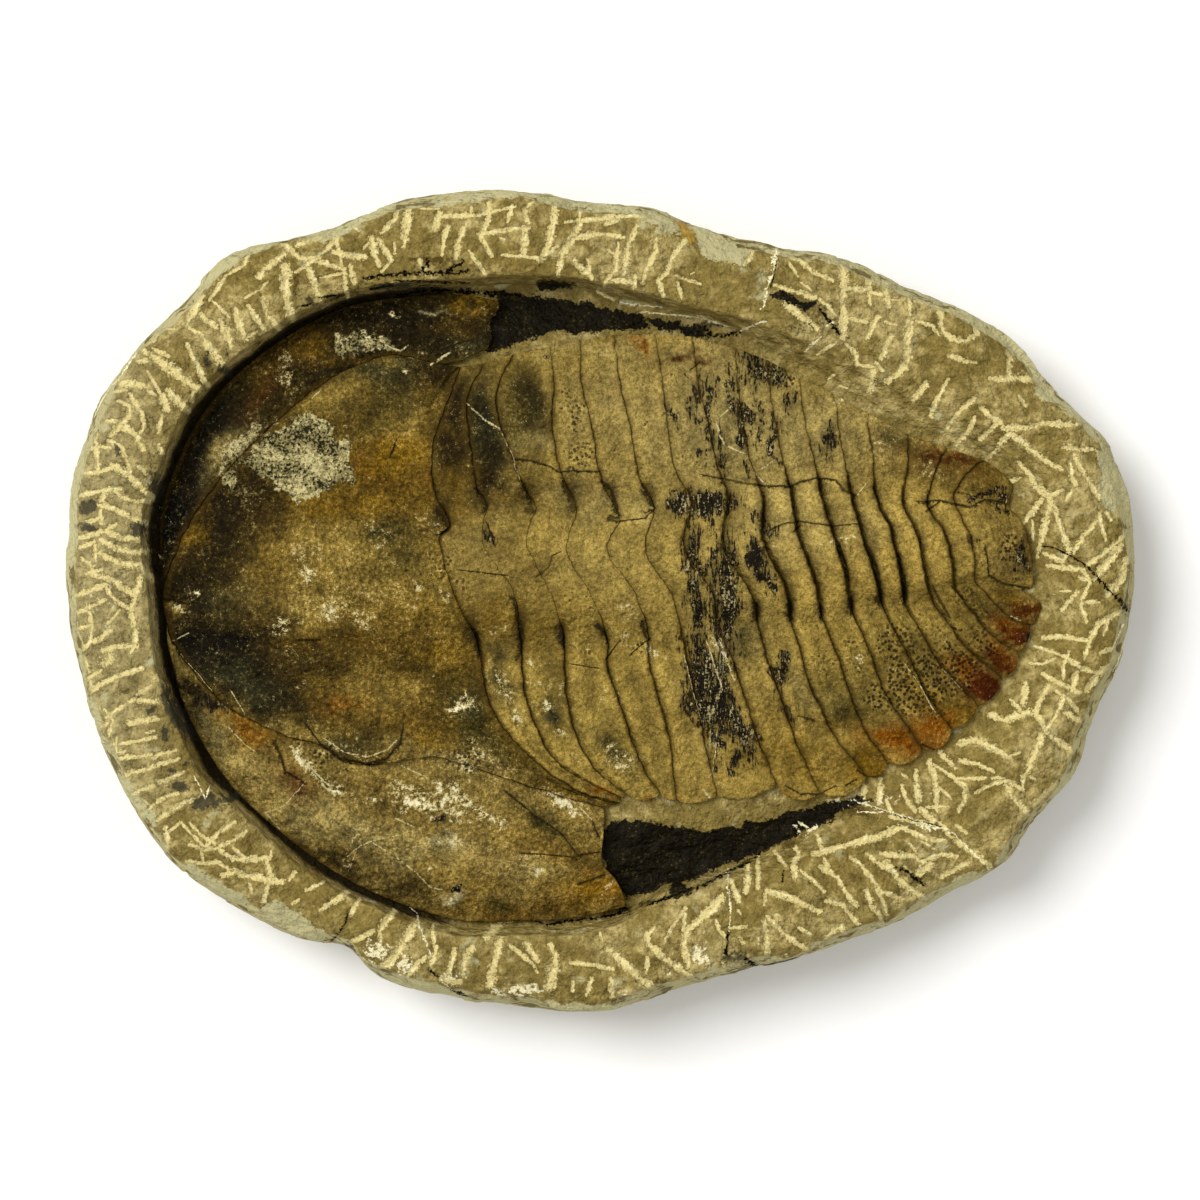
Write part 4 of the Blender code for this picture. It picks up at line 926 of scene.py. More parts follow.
def finish_block():
    """Stone mottled at three sizes, then painted shade on ledges, sooty stains that are partly painted
    shade, pale breaks, chisel strokes with painted shade beside them, painted shade at the foot of the
    wall at the head end, limy bloom and cracks with a darkening round the dark ones that is partly painted
    shade, laid over one another, each with an edge broken up by grain. A number beside a noise is its
    weight, and a step's two numbers are where a layer begins to show and where it shows in full."""
    stone = Finish("chiselled_mudstone", STONE_ROUGHNESS, STONE_SHINE)
    place = stone.place
    fresh, black, ochre, on_side = stone.fields("breaks")
    soot_and_shade, white, ledge_shade, pale_head = stone.fields("stains")
    cloud, mottle = place.grain(22, 3, shift=3), place.grain(4.5, 7, 0.66, shift=11)
    grit, fine = place.grain(0.9, 3, 0.65, shift=23), place.grain(0.35, 2, 0.6, shift=31)
    hatch = place.grain(1.6, 4, 0.7, shift=41)
    tone = mottle * 0.6 + hatch * 0.35 + grit * 0.3
    colour = place.node("ShaderNodeCombineColor", {}, dict(enumerate(OLIVE_STONE)))
    colour = colour.tinted((cloud * 0.5 + mottle * 0.5).step(-0.3, 0.9), TAN_STONE)
    colour = colour.tinted(pale_head * 0.55, PALE_HEAD_STONE)
    colour = colour.scaled(tone.doubling(0.6, -0.42) + fine * 0.1)
    colour = colour.tinted(tone.step(-0.5, -1.4) * 0.7, DUN_STONE)
    colour = colour.tinted((grit * 0.6 + fine * 0.5).step(0.9, 1.3) * 0.6, DUN_STONE)
    # Painted shade on shadowed ledges and along the walls.
    colour = colour.tinted((ledge_shade + hatch * 0.4).step(0.3, 0.7) * 0.8, LEDGE_SHADE_BROWN)
    sunk = stone.field("sunk") + mottle * 1.9 + hatch * 1.4
    weathered = place.grain(9, 4, 0.6, shift=47)
    colour = colour.tinted((on_side + weathered * 0.5).step(0.35, 0.75) * 0.75, FRESH_STONE)
    rind = place.grain(7, 3, 0.6, shift=53, stretch=(1, 1, 2.5))
    colour = colour.tinted(on_side * rind.step(0.1, 0.7) * 0.8, DUN_STONE)
    chipped = (fresh + mottle * 0.6 + grit * 0.35).step(-0.1, 0.25)
    colour = colour.tinted(chipped * 0.85, FRESH_STONE)
    colour = colour.tinted(chipped * (tone * 0.7).step(0.1, 0.8) * 0.6, OLIVE_STONE)
    colour = colour.tinted((ochre + grit * 0.3).step(0, 0.3) * 0.8, OCHRE_STAIN)
    distance, _ = stone.strokes("chisel", mottle * 0.2 + grit * 0.36 + fine * 0.2, hatch * 0.45)
    on_top = 1 - on_side
    # Painted shade: the stone just beside each chisel groove is darkened where its tone is low.
    colour = colour.tinted(distance.step(2.4, 1.2) * tone.step(0.4, -0.8) * 0.5 * on_top, DUN_STONE)
    colour = colour.tinted(distance.step(3.0, 1.0) * tone.step(0.0, 1.5) * 0.4 * on_top, CHISELLED_DUST)
    chiselled = distance.step(1.35, 1.0)
    pressed = (grit * 0.35 + hatch * 0.3 + 0.9).step(0.05, 0.7)
    colour = colour.tinted(chiselled * pressed * 0.95 * on_top, CHISELLED_DUST)
    limed = distance.step(0.55, 0.2) * (hatch + fine * 0.4).step(0, 0.8)
    colour = colour.tinted(limed * on_top, LIMY_WHITE)
    # Painted shade: the wall and the bed at the head end darken with their depth below the rim, first to a
    # dark umber and then to black.
    colour = colour.tinted(sunk.step(7.5, 10.5) * 0.8, WALL_SHADE_BROWN)
    colour = colour.tinted(sunk.step(10.0, 12.5) * 0.8, HOLLOW_AND_SHADE_BLACK)
    colour = colour.tinted((white + hatch * 0.45).step(0.55, 0.85) * 0.9, LIMY_WHITE)
    # Sooty stains, made darker as painted shade along the hollow's wall and beside the troughs.
    colour = colour.tinted((soot_and_shade + hatch * 0.35).step(0.35, 0.75) * 0.85, SLATE_STAIN_AND_SHADE)
    burnt = (black + mottle * 0.7 + grit * 0.5).step(-0.25, 0.25)
    colour = colour.tinted(burnt * 0.98, HOLLOW_AND_SHADE_BLACK)
    flecks = (place.cells(1.5, 5).step(0.26, 0.16) * (grit + mottle).step(0.2, 1.0)).most(
        (grit * 0.6 - fine * 0.5).step(0.6, 0.9) * mottle.step(0.0, 0.8)
    )
    colour = colour.tinted(burnt * flecks * 0.5, DUN_STONE)
    gap, crack_tone = stone.strokes("crack", grit * 0.7 + hatch * 0.4, hatch * 1.2)
    cracked = gap.step(1.0, 0.55)
    # A soft darkening round the dark cracks, partly staining and partly painted shade.
    colour = colour.tinted(gap.step(2.6, 0.7) * (1 - crack_tone) * 0.4, DUN_STONE)
    colour = colour.tinted(cracked * (1 - crack_tone), HOLLOW_AND_SHADE_BLACK)
    colour = colour.tinted(cracked * crack_tone * 0.9, LIMY_WHITE)
    height = place.grain(5, 3, 0.5, shift=61) * 0.8 + place.grain(1.4, 3, 0.5, shift=67) * 0.35
    height = height - chiselled * 0.4 - cracked * (1 - crack_tone) * 0.9
    roughness = STONE_ROUGHNESS - burnt * 0.45 + grit * 0.04
    stone.wear([block], colour, roughness, height, STONE_BUMP)


finish_block()

# The head's middle shield: one broad plate of fossil shell, bedded in the stone, with a long swollen
# glabella, the crescent of the left eye lobe standing on its edge, and a shallow furrow in front of its
# rear border.

# Places across every plate are counted in stations: 0 at the left tip, 4 and 7.8 at the two furrows
# beside the axis, 5.75 along its crest, and 11 at the right tip.
LEFT_FURROW, RIGHT_FURROW, RIGHT_TIP = 4.0, 7.8, 11.0
AXIS_EDGE = (-0.2, 0.6)
BEDDING_GAP, JOINT_GAP, SUTURE_GAP = 0.35, 0.04, 0.2
PLATE_STATIONS = np.linspace(0, RIGHT_TIP, 330)
HEAD_ROWS = np.linspace(0, 1, 280) ** 1.1
JOINTS = (
    ((6, -61), (-7, -57), (-22, -46), (-33, -31), (-37, -12), (-43, 0), (-48, 18), (-45, 23), (-50, 34),
     (-50, 47), (-46, 59), (-42, 70)),
    ((6.5, -59.3), (-5, -53.8), (-15, -46), (-22, -30), (-24, -12), (-26, 2.5), (-35, 17), (-34, 28.5),
     (-37, 34), (-39, 48), (-40, 60), (-35, 71)),
    ((8, -58), (-1, -51), (-7.5, -40), (-10.5, -25), (-11, -12), (-14.5, 1.5), (-22, 17), (-19.5, 28),
     (-23.5, 35.5), (-30, 53), (-31, 63), (-26, 74)),
    ((18, -58.5), (11.5, -47), (5.5, -30), (2, -20), (2, -11), (-2.5, 1.5), (-10, 15), (-7, 28),
     (-12, 38.5), (-14.5, 53), (-14, 65), (-15, 76)),
    ((23, -60), (20.5, -41), (17, -28), (14.5, -18), (14, -8), (10, 3), (2, 15), (5.5, 25), (0, 37),
     (-2.5, 52), (-5.5, 65), (-6, 78)),
    ((35, -58.5), (30.5, -39), (28, -27), (26, -18), (24.5, -10.5), (21.5, 1.5), (13.5, 15), (16, 28),
     (11.5, 37.5), (9, 52), (6, 65), (4, 80)),
    ((53, -55), (47.5, -42.5), (43, -28), (39, -16.5), (35.5, -8.5), (33, 3), (25, 16.5), (27, 30),
     (22.5, 39), (20.5, 51), (18.5, 65), (16.5, 80)),
    ((66, -58), (58.5, -42), (53.5, -27.5), (49.5, -16.5), (47, -5.5), (44.5, 3), (36.5, 16.5), (38, 31),
     (35, 40.5), (32.5, 51), (29.5, 65), (28, 79.5)),
    ((80, -53), (70.5, -41), (63.5, -27), (60, -15.5), (57, -5.5), (55, 4.5), (48.5, 18), (48.5, 31),
     (45.5, 40), (43, 51), (41.5, 64), (40.5, 76)),
    ((86.5, -48.5), (78.5, -37.5), (73.5, -24), (70, -14), (66, -4), (64, 6), (59, 19.5), (57, 31.5),
     (55, 40.5), (53, 51), (51, 62.5), (50.5, 72)),
    ((97, -45), (91, -36.5), (85, -27), (80.5, -15), (75.5, -3), (73, 7.5), (69.5, 19.5), (66, 32),
     (64.5, 40.5), (62, 50.5), (60.5, 59), (60, 67)),
    ((105.5, -38.5), (100, -31.5), (94.5, -21.5), (89.5, -11.5), (84.5, -1.5), (82, 7.5), (78.5, 18),
     (75, 31.5), (73.5, 40), (72, 48), (71, 55.5), (70, 62)),
    ((113.5, -31.5), (107.5, -25.5), (102, -19.5), (96, -9.5), (91, 0), (89.5, 8.5), (87, 19.5),
     (82.5, 31), (82, 38.5), (81.5, 45), (80.5, 51), (80.5, 56.5)),
    ((120.5, -23), (115.5, -19), (110.5, -15), (104.5, -7.5), (99, 1), (97, 7.5), (95, 18), (90.5, 29),
     (91.5, 36), (92.5, 41.5), (92.5, 45.5), (92.5, 50)),
    ((125.5, -15.5), (121, -13), (116.5, -9.5), (111, -3), (106, 4), (105.5, 9), (103, 19.5), (98, 28),
     (99, 34), (100.5, 39), (102.5, 43), (104, 46)),
    ((129, -7.5), (124.5, -6), (121, -3.5), (116.5, 1), (112.5, 6), (112, 11), (110.5, 19.5),
     (106, 29.5), (107, 34), (109.5, 37.5), (112.5, 40.5), (115.5, 42)),
)
SUTURE = (
    (0, 1, -62), (0.5, -18, -56.5), (1, -36, -50.5), (1.5, -52, -46), (2, -61, -45.5), (2.25, -67, -49),
    (2.5, -77, -48), (2.75, -84.5, -43), (3, -94, -40.5), (3.5, -114, -30), (4, -127.5, -14),
    (4.5, -130, -7), (5, -131, -3), (5.75, -131.7, 1), (6.5, -130.5, 6), (7, -128.5, 12),
    (7.5, -124.5, 21), (8, -119.5, 29), (8.5, -111, 40), (9, -100.5, 50.5), (9.5, -88.5, 61),
    (10, -76.5, 69), (10.5, -63, 73.5), (11, -46.5, 71), (11.6, -33.5, 75.5),
)
HEAD_HEIGHT = (
    (0, 2), (1, 3.2), (2, 3.6), (3, 3.7), (4, 3.6), (4.5, 5.6), (5, 6.9), (5.75, 7.6), (6.5, 7.2),
    (7, 6.4), (7.8, 3.9), (8.4, 3.7), (9, 3.6), (10, 3.2), (11, 2.2),
)
SUTURE_HEIGHT = (
    (0, 2.4), (1, 3.4), (2, 3.4), (3, 3.4), (4, 2.4), (5, 1.9), (5.75, 1.8), (7, 1.9), (8, 2.2), (9, 3),
    (10, 3.3), (11, 2.6),
)
HEAD_RISE = (-0.05, 0.55)
GLABELLA_SWELL, GLABELLA_SWELL_REACH = 0.75, 1.1
HEAD_LUMPS, HEAD_SEED = ((0.35, 22, 2), (0.12, 5, 3)), 81
# How the painted patches' places are pushed about, so that none looks round, and how strong a dab is.
BRUSH_WANDER, DAB_SEED, PATCH_SEED = ((4.6, 12, 2), (2.0, 2.5, 2)), 120, 140
DAB_STRENGTH, FAINT_REACH = 1.25, 2.6
# Where the joints hardly show, and the pits at the ends of the ridges and along the furrows beside the
# axis, as patches; the pits sink the shell and darken it with painted shade.
FAINT_JOINTS = (
    (560, 565, 130, 55, 0, 0.95), (730, 420, 150, 70, 0, 0.4), (610, 350, 110, 14, 0, 0.3),
    (640, 600, 60, 40, 0, 0.4), (560, 760, 60, 40, -30, 0.2), (330, 330, 180, 40, 10, 0.5),
    (400, 765, 120, 20, 0, 0.6), (720, 620, 40, 140, 0, 0.4),
)
FURROW_PITS = (
    (441, 512, 10, 22, -20, 1), (484, 488, 10, 20, -20, 0.9), (529, 492, 10, 18, -25, 0.9),
    (572, 489, 10, 18, -25, 0.9), (611, 492, 9, 17, -25, 0.9), (650, 492, 9, 15, -20, 0.8),
    (473, 632, 9, 16, 10, 0.9), (519, 632, 7, 24, -4, 1), (560, 634, 6, 13, 0, 0.9),
    (601, 632, 8, 14, 20, 0.9), (643, 628, 7, 13, 10, 0.8), (757, 612, 6, 12, 0, 0.8),
    (790, 610, 6, 12, 0, 0.9), (819, 612, 6, 10, 0, 0.8), (849, 606, 6, 12, 0, 0.8),
    (880, 600, 5, 10, 0, 0.7), (903, 594, 5, 12, 0, 0.7), (786, 487, 9, 7, 0, 0.6),
    (820, 486, 9, 8, 0, 0.7), (850, 486, 8, 8, 0, 0.6), (872, 490, 7, 8, 0, 0.6),
    (690, 505, 26, 8, 0, 0.5), (560, 486, 110, 7, 0, 0.35), (560, 645, 100, 6, 0, 0.3),
)
PIT_DEPTH, PIT_SHADE = 1.3, 0.82
EDGE_RAGGED, EDGE_SEED = ((0.45, 5, 2), (0.22, 1.7, 2)), 150
OCCIPITAL_ROW, OCCIPITAL_WIDTH, OCCIPITAL_DEPTH = 0.9, 0.04, 0.7
EYE_LOBE_STATION, EYE_LOBE_REACH, EYE_LOBE_HEIGHT = 2.45, 0.55, 2.2
EYE_LOBE_ROW, EYE_LOBE_WIDTH = 0.1, 0.07

# The fossil shell's colours, as light they send back, and where each lies on the photograph:
# soft dabs as (x, y, radius along, radius across, turn in degrees, strength, colour), later ones on top.
TAN, SAND, BROWN = (0.40, 0.272, 0.053), (0.40, 0.3, 0.09), (0.12, 0.068, 0.007)
UMBER, OLIVE, SLATE = (0.02, 0.0125, 0.002), (0.052, 0.041, 0.006), (0.04, 0.039, 0.013)
PITCH, GOLD, ORANGE = (0.004, 0.003, 0.0015), (0.21, 0.115, 0.005), (0.25, 0.078, 0.0)
RUST, CREAM, WHITE_BLOOM = (0.078, 0.013, 0.0), (0.62, 0.53, 0.25), (0.82, 0.73, 0.46)
HEAD_BROWN, CRUST_GREY, BARK_BROWN = (0.155, 0.095, 0.012), (0.25, 0.21, 0.08), (0.035, 0.023, 0.007)
# The crack colour is also laid on as painted shadow at the hooks beside the axis.
CRACK_AND_SHADOW_DARK, SLIVER_TAN = (0.012, 0.008, 0.002), (0.42, 0.34, 0.15)
SHELL_ROUGHNESS, WORN_ROUGHNESS, SHELL_SHINE, SHELL_BUMP = 0.6, 0.62, 0.05, 0.5
HEAD_DABS = (
    (370, 400, 90, 44, 0, 0.8, OLIVE), (340, 400, 50, 24, 0, 0.55, BROWN),
    (415, 428, 26, 26, 0, 0.6, TAN), (330, 395, 34, 14, 0, 0.45, TAN), (385, 368, 60, 16, 5, 0.6, SLATE),
    (440, 372, 34, 24, 20, 0.7, UMBER), (432, 425, 12, 44, 0, 0.5, BROWN),
    (235, 522, 66, 44, 30, 1.3, UMBER), (205, 590, 70, 34, 0, 0.95, UMBER),
    (250, 600, 30, 20, 0, 0.8, UMBER), (225, 600, 30, 12, 0, 0.5, SLATE),
    (190, 538, 22, 9, 50, 0.6, GOLD), (272, 560, 22, 40, 0, 0.8, BROWN),
    (378, 464, 26, 20, 20, 0.3, ORANGE), (400, 458, 34, 20, 20, 0.9, GOLD),
    (438, 478, 14, 14, 0, 0.4, ORANGE), (330, 505, 40, 16, 0, 0.6, GOLD),
    (385, 500, 60, 16, 0, 0.5, GOLD), (330, 560, 60, 34, 0, 0.5, TAN), (420, 580, 60, 44, 0, 0.5, TAN),
    (385, 534, 22, 14, 0, 0.8, OLIVE), (402, 560, 24, 16, 0, 0.6, OLIVE),
    (300, 605, 60, 22, 0, 0.45, TAN), (400, 610, 50, 24, 0, 0.4, GOLD),
    (335, 640, 90, 10, 0, 0.75, BROWN), (215, 650, 66, 34, -10, 1.15, PITCH),
    (262, 690, 60, 24, -28, 1.05, UMBER), (240, 680, 40, 20, -28, 0.6, SLATE),
    (188, 628, 20, 10, 0, 0.7, UMBER), (176, 606, 7, 5, 0, 0.7, TAN), (320, 664, 60, 14, -5, 0.6, UMBER),
    (346, 704, 18, 8, 0, 0.55, ORANGE), (384, 692, 34, 20, 0, 0.5, TAN),
    (353, 742, 48, 18, 0, 0.6, SLATE), (350, 728, 40, 10, 0, 0.5, BROWN),
    (408, 656, 22, 14, 0, 0.7, UMBER), (464, 706, 26, 34, 20, 0.85, OLIVE),
    (462, 716, 18, 22, 20, 0.7, SLATE), (486, 742, 40, 12, -35, 0.7, OLIVE),
    (440, 655, 30, 16, 0, 0.5, GOLD), (410, 710, 40, 34, 0, 0.5, BROWN),
    (400, 775, 60, 12, -5, 0.6, BROWN), (450, 765, 50, 16, -10, 0.6, SAND),
    (300, 740, 22, 16, -30, 0.6, TAN), (312, 765, 44, 8, -42, 0.7, SAND),
    (540, 790, 50, 8, -30, 0.6, TAN), (295, 720, 24, 12, -30, 0.6, UMBER),
    (430, 740, 22, 16, 0, 0.5, GOLD),
)
# Tar-black stains, white bloom and black freckles as patches, and pale crust with black specks by its
# outlines.
TAR_PATCHES = (
    (708, 506, 34, 10, 0, 0.95), (682, 505, 10, 14, 20, 0.9), (692, 560, 10, 44, 6, 0.75),
    (728, 595, 11, 54, 4, 1), (694, 615, 9, 40, 2, 0.8), (712, 570, 5, 60, 2, 0.6),
    (700, 690, 12, 50, 14, 1), (722, 700, 16, 40, 12, 1.05), (742, 735, 10, 30, 22, 0.95),
    (757, 565, 6, 32, 22, 1.1), (773, 590, 4, 12, 35, 1), (738, 768, 6, 5, 0, 1.2),
    (720, 748, 6, 10, 0, 1), (745, 430, 3.5, 44, 4, 1), (738, 400, 3, 30, 6, 0.8),
    (706, 415, 5, 48, 4, 0.66), (730, 390, 3, 26, 6, 0.7), (756, 420, 3, 40, 3, 0.6),
    (714, 385, 3, 20, 4, 0.6), (698, 385, 3, 24, 6, 0.6), (684, 385, 3, 26, 8, 0.5),
    (752, 372, 6, 12, 0, 0.8), (778, 372, 8, 12, 0, 0.7), (690, 405, 5, 26, 8, 0.6),
    (722, 450, 5, 34, 4, 0.55), (772, 440, 5, 28, 5, 0.85), (829, 440, 6, 14, 0, 0.8),
    (762, 366, 24, 17, 0, 0.68), (792, 400, 5, 22, 0, 0.5), (674, 420, 4, 10, 10, 0.8),
    (760, 520, 10, 10, 0, 0.7), (495, 535, 5, 14, 8, 0.7), (549, 357, 4, 3, 0, 1),
    (785, 330, 26, 14, -15, 0.6), (1006, 505, 8, 6, 0, 1.2), (985, 497, 22, 4, 6, 0.9),
    (965, 535, 6, 5, -35, 1), (276, 700, 4, 6, 0, 0.9), (448, 820, 6, 4, 0, 0.7), (213, 700, 6, 9, 20, 1),
    (774, 668, 5, 14, 15, 0.9), (788, 706, 4, 16, 15, 0.9), (1034, 640, 5, 4, 0, 1),
    (1024, 672, 5, 4, 0, 1), (1030, 556, 5, 22, 0, 0.8), (456, 888, 4, 4, 0, 1.2),
    (720, 640, 6, 26, 0, 0.8),
)
SPECKLED_CRUSTS = (
    ((247, 464), (252, 454), (259, 436), (270, 424), (286, 416), (310, 416), (328, 423), (343, 435),
     (353, 449), (359, 464), (356, 480), (343, 490), (326, 494), (310, 499), (293, 507), (279, 504),
     (271, 491), (276, 476), (256, 471)),
    ((213, 483), (216, 466), (226, 449), (240, 432), (254, 420), (270, 416), (262, 432), (250, 452),
     (240, 472), (226, 486)),
    ((325, 332), (340, 338), (378, 335), (402, 343), (398, 352), (372, 352), (350, 354), (334, 350)),
)
BLOOM_PATCHES = (
    (283, 624, 14, 11, 0, 1), (304, 622, 10, 9, 0, 0.7), (334, 618, 9, 8, 0, 0.7),
    (365, 622, 14, 12, 0, 0.65), (305, 570, 10, 14, 0, 0.7), (320, 552, 16, 8, 0, 0.6),
    (352, 556, 10, 8, 0, 0.5), (425, 588, 8, 5, 0, 0.9), (447, 595, 5, 9, 0, 0.9),
    (390, 530, 70, 26, 0, 0.38), (350, 600, 90, 40, 0, 0.45), (195, 592, 10, 6, 0, 0.8),
    (178, 608, 8, 4, 0, 0.9), (430, 802, 50, 12, -12, 0.8), (455, 795, 24, 8, -14, 1.05),
    (472, 810, 18, 6, -10, 1.15), (432, 788, 14, 4, -30, 1.1), (410, 806, 16, 4, 8, 1.15),
    (450, 818, 20, 4, -6, 1.1), (405, 790, 10, 5, -30, 1), (385, 796, 16, 3, 10, 1),
    (448, 804, 8, 12, 0, 1.1), (300, 762, 14, 4, -45, 1.1), (328, 784, 18, 3.5, -42, 1.1),
    (488, 818, 16, 7, 0, 0.8), (562, 802, 34, 8, -22, 1.05), (375, 335, 12, 7, 0, 1),
    (318, 772, 34, 5, -42, 0.9), (360, 800, 40, 10, -10, 0.5), (470, 706, 9, 8, 0, 0.9),
    (498, 680, 12, 24, 20, 0.75), (518, 720, 9, 14, 10, 0.7), (550, 702, 9, 5, 0, 1.1),
    (556, 732, 12, 7, -20, 1), (618, 752, 26, 8, -30, 0.85), (625, 766, 24, 6, -30, 0.7),
    (655, 648, 10, 8, 0, 0.8), (620, 640, 10, 7, 0, 0.7), (625, 610, 16, 12, 0, 0.6),
    (498, 638, 12, 6, 0, 0.75), (538, 655, 10, 6, 0, 0.7), (548, 684, 10, 4, 0, 0.7),
    (855, 655, 10, 8, 0, 0.7), (880, 440, 30, 16, 10, 0.55), (840, 400, 16, 5, 0, 0.7),
    (845, 548, 40, 6, 0, 0.5), (930, 470, 26, 10, 0, 0.6), (712, 700, 20, 60, 8, 0.6),
    (716, 660, 8, 30, 4, 0.9), (700, 668, 12, 20, 10, 0.8), (714, 740, 5, 12, 0, 1.1),
    (270, 620, 9, 6, 0, 0.5), (425, 868, 5, 9, 0, 0.9), (397, 866, 6, 4, 0, 0.9),
    (540, 875, 12, 6, 0, 0.7), (525, 864, 12, 7, 0, 0.6), (520, 893, 8, 6, 0, 0.6),
    (355, 832, 30, 14, 0, 0.45), (490, 760, 40, 10, -20, 0.55), (402, 374, 6, 5, 0, 0.9),
    (393, 316, 5, 4, 0, 1.1), (345, 865, 8, 6, 0, 0.6), (460, 770, 50, 14, -8, 0.55),
    (560, 700, 90, 60, 0, 0.25), (420, 360, 12, 4, -10, 0.6), (283, 370, 8, 16, 0, 0.6),
    (300, 660, 18, 6, 0, 0.6), (302, 683, 5, 6, 0, 0.8), (608, 892, 8, 4, 20, 0.7),
    (484, 845, 20, 4, 5, 0.8), (220, 655, 30, 14, 0, 0.35), (340, 750, 60, 8, -8, 0.5),
)
FRECKLED_PATCHES = (
    (925, 685, 60, 34, 15, 1), (975, 640, 34, 16, -10, 0.9), (890, 660, 30, 40, 0, 0.7),
    (575, 420, 16, 60, 5, 0.6), (640, 700, 24, 40, 10, 0.35), (985, 610, 20, 12, 0, 0.6),
    (1008, 550, 22, 34, 0, 0.7), (440, 570, 60, 50, 0, 0.4), (900, 645, 40, 30, 15, 0.8),
    (955, 665, 40, 30, 0, 0.8), (360, 470, 30, 30, 0, 0.3), (765, 366, 26, 20, 0, 0.8),
    (690, 420, 60, 60, 0, 0.35), (620, 620, 120, 60, 0, 0.3), (460, 765, 40, 20, 0, 0.6),
    (320, 755, 40, 16, -40, 0.8), (840, 650, 60, 60, 0, 0.3), (970, 600, 40, 40, 0, 0.4),
)
